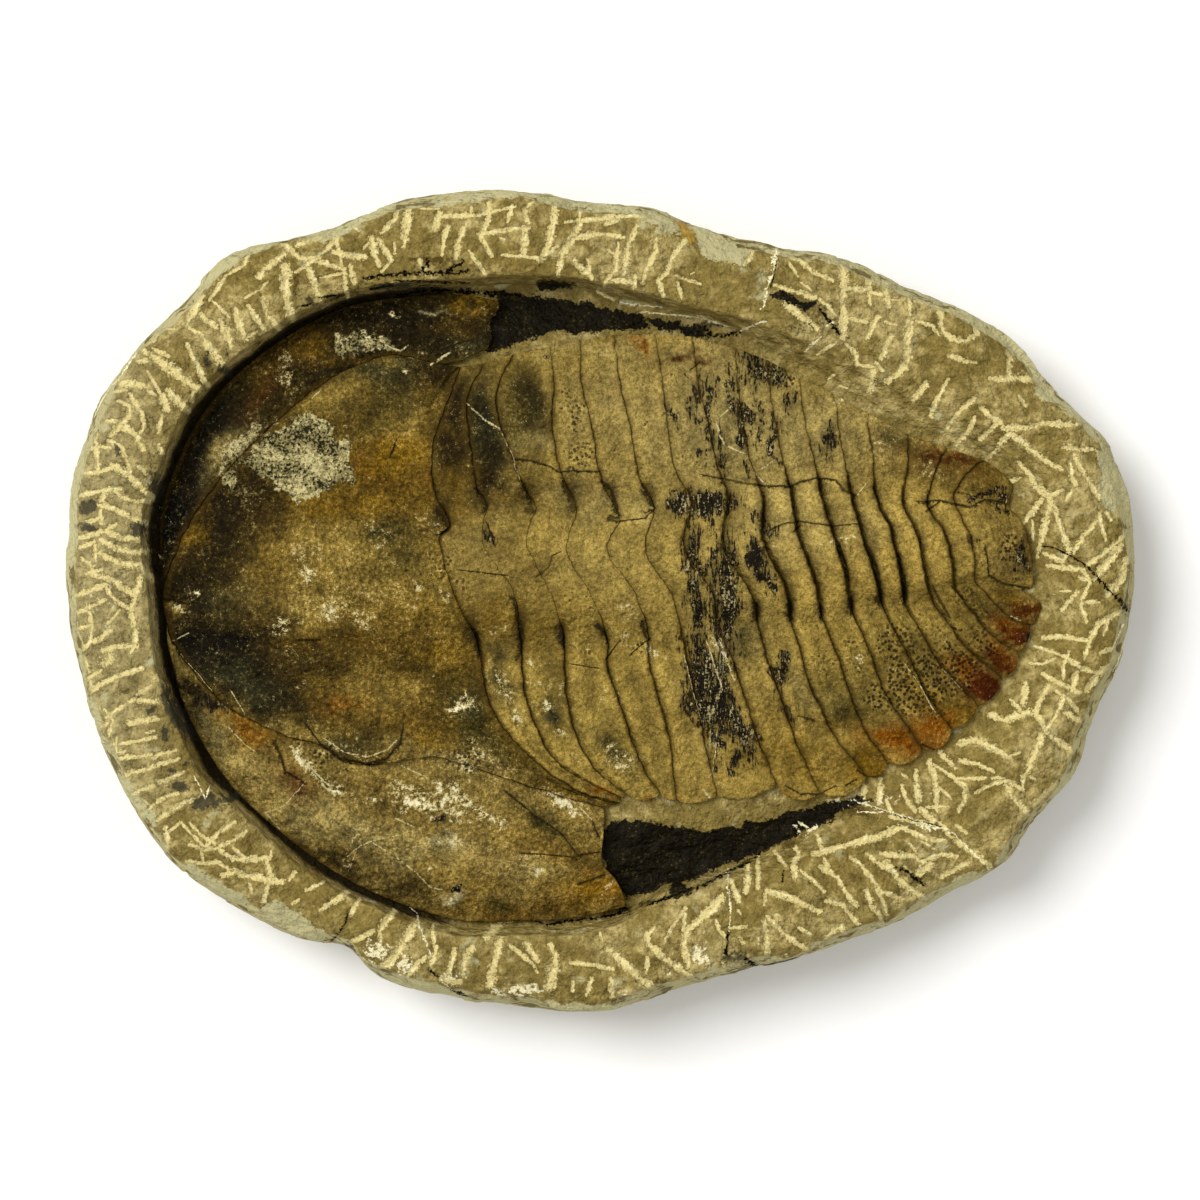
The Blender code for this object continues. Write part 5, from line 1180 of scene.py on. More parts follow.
# Lines on the shell in chains like the block's, with a width below 0 for a dark crack. The dark lines that
# open the table, at the hooks beside the axis and across the rear rings, are painted shadows.
SHELL_LINES = (
    (441, 511, 448, 522, -5, 448, 531, -4), (448, 532, 437, 535, -2),
    (475, 489, 483, 497, -4, 488, 505, -4, 484, 513, -2.5), (518, 480, 527, 492, -4, 534, 512, -4),
    (534, 513, 526, 512, -2.5), (562, 482, 570, 491, -4.5, 576, 509, -4), (576, 510, 569, 510, -2.5),
    (602, 482, 611, 490, -4.5, 618, 516, -4), (618, 518, 608, 519, -2.5),
    (641, 485, 648, 496, -4, 654, 508, -4), (654, 509, 644, 512, -2),
    (468, 626, 476, 634, -3, 479, 657, -3), (514, 598, 521, 622, -3.5, 522, 650, -4.5),
    (522, 652, 517, 660, -2.5), (563, 627, 563, 647, -4), (597, 624, 605, 634, -3.5, 606, 643, -3),
    (642, 621, 646, 638, -3.5), (756, 604, 756, 620, -4.5), (788, 600, 791, 619, -4.5),
    (818, 606, 819, 619, -4), (850, 598, 850, 613, -4.5), (881, 590, 880, 605, -4),
    (904, 582, 904, 602, -5), (897, 555, 904, 582, -3.5), (838, 545, 848, 580, -3),
    (870, 550, 880, 585, -3), (161, 598, 188, 605, -2, 200, 598, -1.6), (171, 642, 190, 632, 1.2),
    (171, 642, 214, 694, -1.6), (172, 644, 212, 692, 1), (205, 697, 216, 706, -3),
    (216, 696, 236, 688, -1.2), (297, 640, 322, 640, -1.6),
    (305, 723, 320, 744, -1.6, 341, 759, -2.2, 366, 765, -2.6, 387, 759, -2.6, 400, 744, -2.2,
     404, 725, -1.6),
    (322, 738, 345, 752, 1.4, 368, 757, 1.6, 388, 750, 1.6, 397, 740, 1.4),
    (328, 370, 345, 368, -2.6, 352, 364, -2.2), (312, 398, 320, 390, 1.8),
    (385, 345, 400, 350, 2, 408, 345, 1.6), (390, 458, 398, 440, -1.6), (230, 690, 245, 715, 1.2),
    (228, 727, 245, 745, 1.4, 255, 752, 1), (275, 740, 285, 773, -2.6), (287, 772, 306, 785, -1.8),
    (292, 752, 335, 797, 2.6), (298, 756, 332, 788, 1.4),
    (306, 781, 285, 805, 1.2, 264, 813, 1.3, 279, 830, 1.6), (400, 765, 427, 778, 1.6),
    (343, 861, 360, 846, 1.2, 372, 841, 1.2, 400, 835, 0.9),
    (372, 842, 400, 860, 1.2, 416, 873, 1.3, 430, 888, 1.2, 442, 890, 1.3), (357, 848, 348, 872, 0.9),
    (395, 818, 414, 827, 1.6), (505, 790, 530, 812, -1.4, 560, 832, -1.4, 578, 855, -1.2, 600, 852, -1.2),
    (560, 792, 580, 808, 1.6, 592, 820, 1.8, 599, 838, -1.6), (520, 853, 575, 857, -1),
    (578, 885, 604, 875, -1.4),
    (512, 460, 532, 461, -1.8, 548, 467, -1.8, 560, 473, -1.8, 582, 472, -1.8, 600, 472, -1.8),
    (700, 475, 725, 479, -1.2, 750, 484, -1.5, 765, 487, -1.8, 790, 487, -1.8, 800, 482, -1.6,
     815, 479, -1.8, 835, 481, -2, 845, 492, -2.2, 856, 496, -2, 868, 480, 1.4),
    (457, 570, 475, 572, -0.9, 508, 576, -1), (536, 577, 549, 567, -0.9, 552, 556, -0.9, 562, 552, -0.8),
    (770, 530, 782, 524, -1.2, 800, 522, -1.4, 832, 526, -1.2, 858, 524, -1), (792, 532, 800, 526, -1.4),
    (467, 403, 485, 420, 1.6, 500, 430, 2, 512, 455, 1.2, 520, 482, 1.4),
    (715, 422, 725, 445, 2, 746, 455, 1.6), (430, 364, 450, 352, 2.4), (440, 350, 470, 340, -1.2),
    (718, 420, 732, 405, 1.2), (716, 742, 713, 770, 1.2, 707, 780, 1),
    (703, 790, 712, 800, 3, 722, 806, 2, 726, 822, 1.8),
    (915, 502, 945, 502, -2, 970, 508, -2, 985, 500, -2, 1003, 502, -2.4), (775, 460, 760, 470, 1.3),
    (752, 470, 765, 485, 1.3), (706, 640, 722, 690, 1.6), (718, 640, 735, 682, 2),
    (714, 600, 716, 640, -1.6), (684, 655, 700, 720, 1.2),
    (785, 785, 800, 794, -1, 820, 794, -1.2, 836, 786, -1), (846, 786, 857, 780, -1.6),
    (857, 770, 868, 778, -1.6, 884, 776, -1.6), (798, 716, 814, 720, -1.6), (922, 744, 936, 750, -1.4),
    (984, 545, 988, 575, -1.6, 1005, 584, -1.6, 1032, 589, -1.6), (1034, 590, 1042, 604, -1.4),
    (655, 818, 680, 820, -1), (605, 660, 620, 640, -1), (570, 664, 600, 668, -0.8),
    (630, 655, 650, 638, -1), (608, 519, 617, 522, -2.6, 645, 519, -1, 655, 509, -1.2),
    (487, 523, 496, 548, -1.2), (940, 500, 925, 512, -1.4), (932, 586, 950, 618, -1.6),
    (951, 586, 965, 602, -1.2), (1010, 616, 1022, 621, 1.2), (902, 661, 922, 690, 1.2, 935, 712, 1.2),
    (941, 668, 962, 690, 1.2), (700, 362, 690, 370, -1.2),
)


def moved_sideways(line, distance):
    """A plan line moved to its left by a distance, as seen when walking from its first point."""
    along = np.gradient(line, axis=0)
    left = np.stack([-along[:, 1], along[:, 0]], axis=1)
    return line + distance * left / np.linalg.norm(left, axis=1, keepdims=True)


def ragged(line):
    """A line's points pushed about by fine noise of their places, the same for both plates beside it."""
    return pushed(line, EDGE_RAGGED, EDGE_SEED)


def across_body(points, stations):
    """Smooth line through points that lie one at each whole station, cut at the given stations."""
    return through([(station, *point) for station, point in enumerate(points)], stations)


def ruled(front, rear, rows):
    """Plan grid between two lines: straight rulings from front to rear, cut at the given rows."""
    rows = np.asarray(rows)[None, :, None]
    return front[:, None, :] * (1 - rows) + rear[:, None, :] * rows


def over_axis(stations):
    """1 over the axis and 0 over the ribs, as a column to the stations."""
    return ease(np.minimum(stations - LEFT_FURROW, RIGHT_FURROW - stations), *AXIS_EDGE)[:, None]


def from_edges(plan):
    """Distance of each point of a plan grid from the grid's front or rear line, whichever is nearer."""
    steps = np.linalg.norm(np.diff(plan, axis=1), axis=2)
    from_front = np.concatenate([np.zeros((len(plan), 1)), np.cumsum(steps, axis=1)], axis=1)
    return np.minimum(from_front, from_front[:, -1:] - from_front)


def add_plate(name, plan, top, fields, spans=4):
    """A closed plate: rings from side to side, each running along the top of the plate and back along
    its underside in a few spans, which lies on the bed; each end is one face per span. Fields are
    values on the plan grid, kept as attributes."""
    edge_1, edge_2 = np.diff(plan, axis=1)[:-1], np.diff(plan, axis=0)[:, :-1]
    if (edge_1[..., 0] * edge_2[..., 1] - edge_1[..., 1] * edge_2[..., 0]).sum() < 0:
        plan, top = plan[::-1], top[::-1]
        fields = {field: values[::-1] for field, values in fields.items()}
    across, along = top.shape
    under = np.linspace(along - 1, 0, spans + 1).round().astype(int)
    bed = bed_height(plan[:, under]) + BEDDING_GAP
    upper = np.concatenate([plan, top[..., None]], axis=2)
    lower = np.concatenate([plan[:, under], bed[..., None]], axis=2)
    points = np.concatenate([upper, lower], axis=1)
    ring = along + under.size
    quads = ring_quads(across, ring)[..., ::-1]
    caps = []
    for k in range(spans):
        face = [*range(under[k + 1], under[k] + 1), along + k, along + k + 1]
        caps += [face[::-1], [(across - 1) * ring + c for c in face]]
    obj = add_mesh(name, points, quads, caps=caps)
    order = np.concatenate([np.arange(along), under])
    for field, values in fields.items():
        keep_field(obj, field, values[:, order])
    keep_strokes(obj, "line", strokes_of(SHELL_LINES))
    return obj


def airbrush(plan, base, dabs):
    """Colour at each plan point: the base, then each dab mixed over it by its soft patch."""
    places = pushed(plan, BRUSH_WANDER, DAB_SEED)
    colour = np.ones((*plan.shape[:-1], 4))
    colour[..., :3] = base
    for *shape, strength, shade in dabs:
        share = np.clip(DAB_STRENGTH * strength * spot(places, *shape), 0, 1)[..., None]
        colour[..., :3] += share * (np.array(shade) - colour[..., :3])
    return colour


def shell_fields(plan, base, dabs, shade=1.0):
    """What a plate's material reads: its airbrushed colour times a factor of painted light and shade,
    darker as painted shade in the pits, its stains, and its distance from the joints, made greater where a
    joint hardly shows."""
    tint = airbrush(plan, base, dabs)
    places = pushed(plan, BRUSH_WANDER, PATCH_SEED)
    # Painted light and shade from the plate's profile, and painted shade in the pits.
    tint[..., :3] *= shade * (1 - PIT_SHADE * patches(plan, FURROW_PITS))[..., None]
    crust = np.max([inside(places.reshape(-1, 2), outline) for outline in SPECKLED_CRUSTS], axis=0)
    stains = [patches(places, table) for table in (TAR_PATCHES, BLOOM_PATCHES, FRECKLED_PATCHES)]
    stains.append(crust.reshape(plan.shape[:-1]))
    seam = from_edges(plan) + FAINT_REACH * patches(places, FAINT_JOINTS)
    return {"tint": tint, "stain": np.stack(stains, axis=-1), "seam": seam}


def build_cranidium():
    """Rulings from the suture to the rear edge, over a height that rises backwards from the suture to
    the section of the glabella, less the rear furrow, plus the eye lobe."""
    stations, rows = PLATE_STATIONS, HEAD_ROWS
    front = ragged(through(SUTURE, stations))
    rear = moved_sideways(ragged(across_body(JOINTS[0], stations)), JOINT_GAP)
    plan = ruled(front, rear, rows)
    swell = GLABELLA_SWELL * np.sin(math.pi * rows)
    swell = swell * bell(stations[:, None] - LEFT_FURROW, GLABELLA_SWELL_REACH)
    height = through(HEAD_HEIGHT, stations[:, None] + swell)[..., 0]
    rise = ease(rows, *HEAD_RISE)
    height = through(SUTURE_HEIGHT, stations) * (1 - rise) + height * rise
    furrow = OCCIPITAL_DEPTH * bell(rows - OCCIPITAL_ROW, OCCIPITAL_WIDTH)
    away = np.abs(stations - EYE_LOBE_STATION)[:, None] / EYE_LOBE_REACH
    lobe = bell(rows - EYE_LOBE_ROW, EYE_LOBE_WIDTH) * np.clip(1 - away**2, 0, None)
    top = bed_height(plan) + height - furrow + EYE_LOBE_HEIGHT * lobe
    top += lumps(plan, HEAD_LUMPS, HEAD_SEED)
    return add_plate("head_middle", plan, top, shell_fields(plan, HEAD_BROWN, HEAD_DABS))


cranidium = build_cranidium()
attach(cranidium, "root")
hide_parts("cranidium")


def finish_shell(name, plates, mottling):
    """Fossil shell: the airbrushed colour broken up by grain of many sizes, as strongly as mottling says,
    then white bloom, speckled crust, freckles, tar, painted shade beside the joints, dark joints, and the
    drawn cracks and painted hook shadows, with a darkening round the dark lines that is partly painted
    shade, laid over one another with the same maths as the stone's layers."""
    shell = Finish(name, SHELL_ROUGHNESS, SHELL_SHINE)
    place = shell.place
    tar, bloom, freckles, crust = shell.fields("stain")
    big, small = place.grain(8, 9, 0.7, shift=5), place.grain(1.2, 4, 0.7, shift=29)
    fine, peppered = place.grain(0.35, 2, 0.6, shift=37), place.grain(0.8, 3, 0.6, shift=71)
    fibre = place.grain(1.3, 4, 0.65, shift=53, stretch=(1.8, 0.3, 1))
    tone = big * 0.75 + small * 0.75 + fine * 0.5 + peppered * 0.3
    colour = shell.field("tint", "Color").scaled(tone.doubling(mottling, -0.6).least(2.0))
    colour = colour.tinted(tone.step(0.5, 2.2) * 0.5, SAND)
    colour = colour.tinted(bloom.step(0.15, 0.9) * tone.step(-0.6, 0.8) * 0.6, SAND)
    bloomed = (bloom * 0.9 + small * 0.35 + fine * 0.2 + big * 0.3).step(0.6, 0.85)
    colour = colour.tinted(bloomed * 0.85, CREAM)
    colour = colour.tinted((bloom + small * 0.45 + big * 0.4).step(0.95, 1.2), WHITE_BLOOM)
    crusted = (crust + small * 0.5 + big * 0.12 + peppered * 0.35).step(-0.05, 0.25)
    colour = colour.tinted(crusted * 0.9, CRUST_GREY)
    colour = colour.tinted(crusted * (small * 0.5 + big * 0.45 + fine * 0.3).step(0.05, 0.4) * 0.95, CREAM)
    spotted = crusted * (fine * 0.3 + peppered * 0.65 - big * 0.55).step(0.1, 0.35)
    colour = colour.tinted(spotted * 0.95, PITCH)
    dots = place.cells(1.35, 9).step(0.42, 0.3) * (freckles + big * 0.4 + small * 0.15).step(0.35, 0.7)
    specks = (peppered * 0.6 + fine * 0.4).step(0.85, 1.1) * 0.8
    colour = colour.tinted(dots.most(specks) * 0.85, PITCH)
    colour = colour.tinted((small * 0.4 - fine * 0.5 - peppered * 0.3).step(0.85, 1.1) * 0.7, CREAM)
    colour = colour.tinted((tar + small * 0.2).step(0.05, 0.6) * 0.55, BARK_BROWN)
    tarred = (tar + fibre * 0.5 + small * 0.15).step(0.3, 0.5) * tar.step(0.04, 0.25)
    colour = colour.tinted(tarred * 0.97, PITCH)
    slivers = (fibre * 0.55 - peppered * 0.4 + big * 0.3).step(0.3, 0.65)
    colour = colour.tinted(tar.step(0.3, 0.7) * slivers * 0.85, SLIVER_TAN)
    seam = shell.field("seam") + small * 0.15 + big * 0.35
    # Painted shade: a soft darkening beside the joints, which rounds the ribs.
    colour = colour.tinted(seam.step(2.6, 0.2) * 0.3, BROWN)
    colour = colour.tinted(seam.step(1.2, 0.1) * 0.4, UMBER)
    colour = colour.tinted(seam.step(0.2, 0.0) * (big * 0.8 + small * 0.4 + 0.4).step(0, 1) * 0.7, PITCH)
    distance, pale = shell.strokes("line", small * 0.35 + big * 0.25 + fine * 0.2, big * 1.2 + small * 0.5)
    drawn = distance.step(1.2, 0.75)
    # A soft darkening round the dark lines, partly staining and partly painted shade.
    colour = colour.tinted(distance.step(3.2, 0.8) * (1 - pale) * 0.5, UMBER)
    # Dark cracks, and the painted shadows of the hooks beside the axis and on the rear rings.
    colour = colour.tinted(drawn * (1 - pale) * (big * 0.4 + 0.75).step(0, 1) * 0.9, CRACK_AND_SHADOW_DARK)
    colour = colour.tinted(drawn * pale * (small * 0.9 + peppered * 0.4 + 0.7).step(0, 1) * 0.9, CREAM)
    height = place.grain(6, 3, 0.5, shift=83) * 0.9 + place.grain(1.5, 3, 0.5, shift=89) * 0.35
    height = height - drawn * (1 - pale) * 0.5 + drawn * pale * 0.2
    roughness = WORN_ROUGHNESS - tarred * 0.2 + small * 0.04
    shell.wear(plates, colour, roughness, height, SHELL_BUMP)


HEAD_MOTTLING = 1.15
finish_shell("head_shell", [cranidium], HEAD_MOTTLING)

# The two free cheeks: curved plates of the same shell outside the suture, each running back towards a
# spine that has broken away. They lie a little below the head's middle and are bedded against the
# hollow's wall.
CHEEK_LEFT_EDGE = (
    (0, 6.5, -92), (0.5, -8, -95.5), (1, -24, -96.5), (1.5, -40, -96.5), (2, -55, -93), (2.5, -74, -85),
    (3, -92, -73), (3.5, -111, -55.5), (4, -124, -34), (4.5, -129.8, -14.5),
)
CHEEK_RIGHT_EDGE = (
    (6.5, -131.7, 11), (7, -132.4, 19), (7.35, -132, 27), (7.7, -130, 34), (8, -127.8, 40),
    (8.5, -122, 52.5), (9, -112, 65.5), (9.5, -96, 78.5), (10, -76, 88.5), (10.5, -54, 91.7),
    (11, -41, 92), (11.6, -31, 90),
)
CHEEK_INNER, CHEEK_MIDDLE, CHEEK_OUTER = 2.0, 3.6, 2.0
CHEEK_LUMPS, CHEEK_SPANS = ((0.3, 14, 2), (0.12, 4, 3)), 18
LEFT_STATIONS, LEFT_ROWS, LEFT_SEED = np.linspace(0, 4.5, 420), np.linspace(0, 1, 110), 83
RIGHT_STATIONS, RIGHT_ROWS, RIGHT_SEED = np.linspace(6.5, 11.6, 420), np.linspace(0, 1, 80), 85
# The torn rear ends: how far each is shifted along the body, at shares of the way out from the suture.
LEFT_TORN_END = (
    (0, 0), (0.1, -0.5), (0.3, -1.8), (0.5, -3.6), (0.6, -3.2), (0.72, -0.5), (0.85, 1), (1, 1.6),
)
RIGHT_TORN_END = ((0, 0), (0.25, 0.8), (0.45, -1.6), (0.7, -0.6), (0.85, 1.2), (1, 0.4))
TORN_REACH = 0.3
RIGHT_CHEEK_BROWN, LEFT_CHEEK_BROWN = (0.03, 0.02, 0.003), (0.3, 0.205, 0.045)
RIGHT_CHEEK_DABS = (
    (215, 408, 22, 46, -40, 0.55, SLATE), (262, 375, 30, 22, 40, 0.6, BROWN),
    (262, 392, 44, 9, 42, 0.3, RUST), (205, 450, 16, 50, -36, 0.9, PITCH),
    (185, 510, 30, 70, -14, 1.1, PITCH), (176, 470, 14, 26, -20, 0.4, UMBER),
    (305, 345, 34, 18, 15, 0.8, BROWN), (312, 346, 16, 10, 15, 0.4, GOLD),
    (305, 372, 26, 10, 10, 0.7, UMBER), (420, 326, 90, 20, 5, 0.7, UMBER),
    (360, 315, 70, 12, 0, 0.5, PITCH), (472, 304, 24, 7, -5, 0.9, GOLD), (426, 307, 9, 3, 5, 0.6, CREAM),
    (470, 345, 22, 10, 25, 0.6, SLATE), (228, 455, 12, 34, -38, 0.6, SAND),
    (345, 362, 40, 8, 5, 0.5, BROWN), (455, 325, 26, 10, 10, 0.4, BROWN),
)
LEFT_CHEEK_DABS = (
    (250, 726, 40, 26, -38, 0.75, GOLD), (244, 720, 30, 12, -38, 0.55, ORANGE),
    (228, 700, 24, 14, -30, 0.7, BROWN), (214, 738, 14, 34, 35, 0.8, SAND),
    (206, 726, 12, 30, 35, 0.5, SLATE), (246, 772, 30, 26, 35, 0.4, SAND),
    (238, 785, 14, 20, 35, 0.4, BROWN), (188, 688, 12, 30, 30, 0.9, UMBER),
    (300, 786, 26, 12, -30, 0.9, RUST), (318, 820, 50, 24, -25, 0.35, SLATE),
    (322, 818, 44, 18, -25, 0.75, SAND), (345, 790, 50, 10, -10, 0.35, BROWN),
    (440, 834, 90, 7, -12, 0.5, BROWN), (540, 852, 60, 7, -4, 0.55, BROWN),
    (369, 852, 40, 12, -32, 0.55, UMBER), (455, 902, 90, 10, -8, 0.4, BROWN),
    (578, 870, 40, 20, 0, 0.7, BROWN), (494, 850, 40, 14, -6, 0.5, GOLD),
    (425, 852, 30, 14, -10, 0.6, SAND), (535, 868, 34, 12, 0, 0.6, SAND),
    (360, 826, 40, 16, -20, 0.6, SAND), (300, 850, 30, 10, -38, 0.5, GOLD),
    (470, 880, 50, 12, -6, 0.4, GOLD), (330, 864, 50, 9, -30, 0.7, UMBER),
    (400, 800, 50, 12, -8, 0.4, BROWN), (400, 890, 60, 10, -18, 0.6, UMBER),
    (360, 852, 24, 10, -30, 0.3, UMBER), (380, 835, 40, 16, -20, 0.3, SAND),
    (470, 850, 60, 18, 0, 0.5, SAND), (540, 850, 60, 26, 0, 0.4, GOLD), (500, 912, 90, 8, 0, 0.6, BROWN),
    (560, 905, 70, 10, 5, 0.7, BROWN), (600, 888, 40, 16, 0, 0.9, GOLD),
    (612, 890, 18, 14, 0, 0.25, ORANGE), (500, 902, 12, 8, 0, 0.7, OLIVE),
    (450, 893, 9, 7, 0, 1.3, CREAM), (445, 843, 9, 7, 0, 0.9, CREAM), (500, 925, 16, 8, 20, 0.8, GOLD),
    (545, 820, 40, 12, -30, 0.8, OLIVE), (280, 842, 34, 9, -35, 0.6, UMBER),
    (225, 800, 34, 8, -45, 0.6, UMBER), (520, 870, 40, 14, 0, 0.35, SAND),
    (420, 862, 26, 10, 0, 0.35, SAND),
)


def build_cheek(name, edge, stations, rows, seed, base, dabs, torn, rear_end):
    """Rulings from just outside the suture to the wall, vaulted by half a sine wave between them. The
    rear end, at station rear_end, is shifted along the body by the torn table, which dies away."""
    inner = moved_sideways(ragged(through(SUTURE, stations)), SUTURE_GAP)
    plan = ruled(inner, through(edge, stations), rows)
    plan[..., 0] += bell(stations - rear_end, TORN_REACH)[:, None] * np.interp(rows, *np.transpose(torn))
    height = CHEEK_INNER * (1 - rows) + CHEEK_OUTER * rows
    height = height + (CHEEK_MIDDLE - CHEEK_INNER) * np.sin(math.pi * rows)
    top = bed_height(plan) + height + lumps(plan, CHEEK_LUMPS, seed)
    return add_plate(name, plan, top, shell_fields(plan, base, dabs), CHEEK_SPANS)


cheek_left = build_cheek(
    "cheek_left", CHEEK_LEFT_EDGE, LEFT_STATIONS, LEFT_ROWS, LEFT_SEED,
    LEFT_CHEEK_BROWN, LEFT_CHEEK_DABS, LEFT_TORN_END, LEFT_STATIONS[0],
)
cheek_right = build_cheek(
    "cheek_right", CHEEK_RIGHT_EDGE, RIGHT_STATIONS, RIGHT_ROWS, RIGHT_SEED,
    RIGHT_CHEEK_BROWN, RIGHT_CHEEK_DABS, RIGHT_TORN_END, RIGHT_STATIONS[-1],
)
for cheek, node in ((cheek_left, "free_cheek_left"), (cheek_right, "free_cheek_right")):
    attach(cheek, "root")
    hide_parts(node)
CHEEK_MOTTLING = 1.1
finish_shell("cheek_shell", [cheek_left, cheek_right], CHEEK_MOTTLING)

# The body: fifteen segments of the same shell, each a band that arches over the axis and runs out into
# a furrowed rib on either side. In life each one's rear edge lapped over the front of the next, and
# here they lie one behind another on the stone, stepped as roof tiles are.
BODY_HEIGHT = (
    (0, 1.8), (1, 2.6), (2, 3.2), (3, 3.5), (4, 2.5), (4.5, 4.6), (5, 5.8), (5.75, 6.6), (6.5, 6.1),
    (7, 5.1), (7.8, 2.6), (8.4, 3.4), (9, 3.5), (10, 3), (11, 1.9),
)
AXIS_PROFILE = (
    (0, -1.5), (0.05, -1.3), (0.16, -0.3), (0.3, 0.3), (0.62, 0.55), (0.9, 1.2), (0.97, 1.25), (1, 0.8),
)
RIB_PROFILE = (
    (0, -1.1), (0.05, -0.9), (0.14, 0.2), (0.3, 0.5), (0.45, 0.05), (0.62, -0.5), (0.8, 0.2),
    (0.93, 0.95), (0.98, 0.95), (1, 0.6),
)
SEGMENTS = 15
SEGMENT_ROWS = 0.5 - 0.5 * np.cos(np.linspace(0, math.pi, 30))
SEGMENT_LUMPS, SEGMENT_SEED = ((0.12, 7, 2), (0.07, 2, 2)), 87
TIP_RELIEF, TIP_RELIEF_REACH, TIP_BULGE_REACH = 0.4, 1.5, 0.5
AXIS_CREST, LEFT_RIB_RELIEF, RIGHT_RIB_RELIEF = 5.75, 0.75, 0.4
# Painted light and shade from a plate's front edge to its rear one, over the axis and over the ribs:
# shade where the edge before it laps over, light on its raised bands, and shade in the rib's furrow and at
# the rear lip; and how far each of the fifteen segments shows this and its relief over the axis.
AXIS_LIGHT_AND_SHADE = ((0, 0.5), (0.1, 0.55), (0.22, 0.8), (0.36, 1.06), (0.85, 1.16), (0.95, 1.0), (1, 0.7))
RIB_LIGHT_AND_SHADE = (
    (0, 0.6), (0.1, 0.8), (0.22, 1.08), (0.38, 1.06), (0.52, 0.84), (0.64, 0.72), (0.78, 0.95),
    (0.9, 1.1), (1, 0.8),
)
AXIS_WEIGHTS = (0.15, 0.15, 0.15, 0.2, 0.25, 0.35, 0.6, 1, 1.25, 1.3, 1.3, 1.3, 1.2, 1, 0.8)
BODY_DABS = (
    (452, 430, 30, 70, 0, 1, UMBER), (484, 440, 26, 66, 0, 1.1, UMBER), (486, 430, 20, 40, 0, 0.5, SLATE),
    (528, 410, 26, 50, 0, 0.8, OLIVE), (532, 395, 16, 30, 0, 0.6, UMBER),
    (500, 460, 30, 22, 0, 0.6, UMBER), (450, 425, 12, 14, 0, 0.5, BROWN),
    (535, 445, 18, 14, 0, 0.5, SAND), (575, 420, 18, 56, 5, 0.35, SAND), (455, 500, 24, 30, 0, 0.7, GOLD),
    (520, 495, 90, 12, 0, 0.5, BROWN), (480, 560, 40, 50, 0, 0.3, SAND), (500, 625, 90, 26, 0, 0.5, GOLD),
    (460, 640, 30, 40, 0, 0.6, BROWN), (600, 560, 70, 50, 0, 0.25, SAND),
    (615, 400, 40, 60, 0, 0.5, SAND), (655, 440, 40, 60, 0, 0.35, SAND),
    (590, 345, 90, 12, -3, 0.5, SAND), (820, 430, 90, 56, 0, 0.7, SAND), (730, 360, 60, 30, 0, 0.5, SAND),
    (722, 420, 60, 70, 0, 0.9, SAND), (1005, 555, 26, 36, 0, 0.45, SAND),
    (720, 620, 46, 130, 0, 0.3, SAND), (505, 575, 60, 46, 0, 0.35, BROWN),
    (840, 550, 66, 50, 0, 0.25, BROWN), (640, 510, 22, 14, 0, 0.6, SAND),
    # The wide dab at (840, 550), over the rear of the axis, is painted shade.
    (600, 505, 18, 14, 0, 0.6, SAND), (560, 500, 20, 14, 0, 0.4, SAND), (780, 520, 50, 60, 0, 0.5, SAND),
    (860, 530, 50, 30, 0, 0.35, SAND), (560, 680, 16, 40, 12, 0.5, OLIVE),
    (500, 675, 9, 26, 24, 0.8, SLATE), (552, 714, 11, 13, 15, 0.9, SLATE),
    (615, 752, 34, 10, -28, 0.6, SLATE), (745, 640, 20, 20, 0, 0.6, SLATE),
    (845, 705, 30, 30, 0, 0.7, OLIVE), (800, 690, 16, 30, 15, 0.5, SAND),
    (795, 755, 50, 36, -20, 0.4, GOLD), (915, 665, 50, 34, 10, 0.5, OLIVE),
    (985, 610, 26, 18, -30, 0.6, OLIVE), (960, 600, 40, 20, -20, 0.4, BROWN),
    (930, 700, 60, 10, -40, 0.5, GOLD), (868, 766, 26, 14, 0, 0.9, GOLD),
    (900, 744, 34, 15, -15, 1.1, ORANGE), (936, 728, 22, 18, 0, 1.1, ORANGE),
    (964, 712, 18, 12, -20, 0.8, GOLD), (985, 690, 28, 15, -25, 1.5, RUST),
    (1012, 668, 26, 11, -20, 1.4, RUST), (1000, 652, 26, 10, -25, 0.6, ORANGE),
    (1020, 636, 26, 10, -25, 1.4, RUST), (1005, 625, 16, 8, 0, 0.6, ORANGE),
    (1028, 608, 20, 13, -15, 1.2, RUST), (1008, 595, 20, 9, -20, 0.7, GOLD),
    (962, 668, 16, 8, -30, 0.7, ORANGE), (942, 458, 46, 12, -10, 0.95, RUST),
    (930, 470, 50, 14, 0, 0.5, BROWN), (985, 482, 30, 18, 0, 0.6, BROWN),
    (900, 440, 22, 12, -20, 0.6, OLIVE), (840, 330, 30, 12, -10, 0.5, OLIVE),
    (1008, 552, 30, 40, 0, 0.5, BROWN), (1020, 545, 12, 40, 0, 0.4, UMBER),
    (658, 806, 18, 7, 0, 1.1, ORANGE), (786, 806, 8, 8, 0, 0.8, ORANGE),
    (604, 789, 10, 6, -30, 0.9, ORANGE), (526, 348, 10, 5, 0, 0.8, GOLD),
    (640, 346, 14, 6, -20, 0.7, ORANGE), (680, 357, 16, 4, 0, 0.8, RUST), (702, 368, 10, 3, 0, 0.7, RUST),
    (600, 800, 60, 8, -10, 0.5, OLIVE),
)
TIP_BULGES = (0, 0, 2.0, 0.8, 1.5, 2.5, 3.5, 3.2, 2.0, 2.4, 2.6, 1.4, 1.6, 1.8, 1.2)


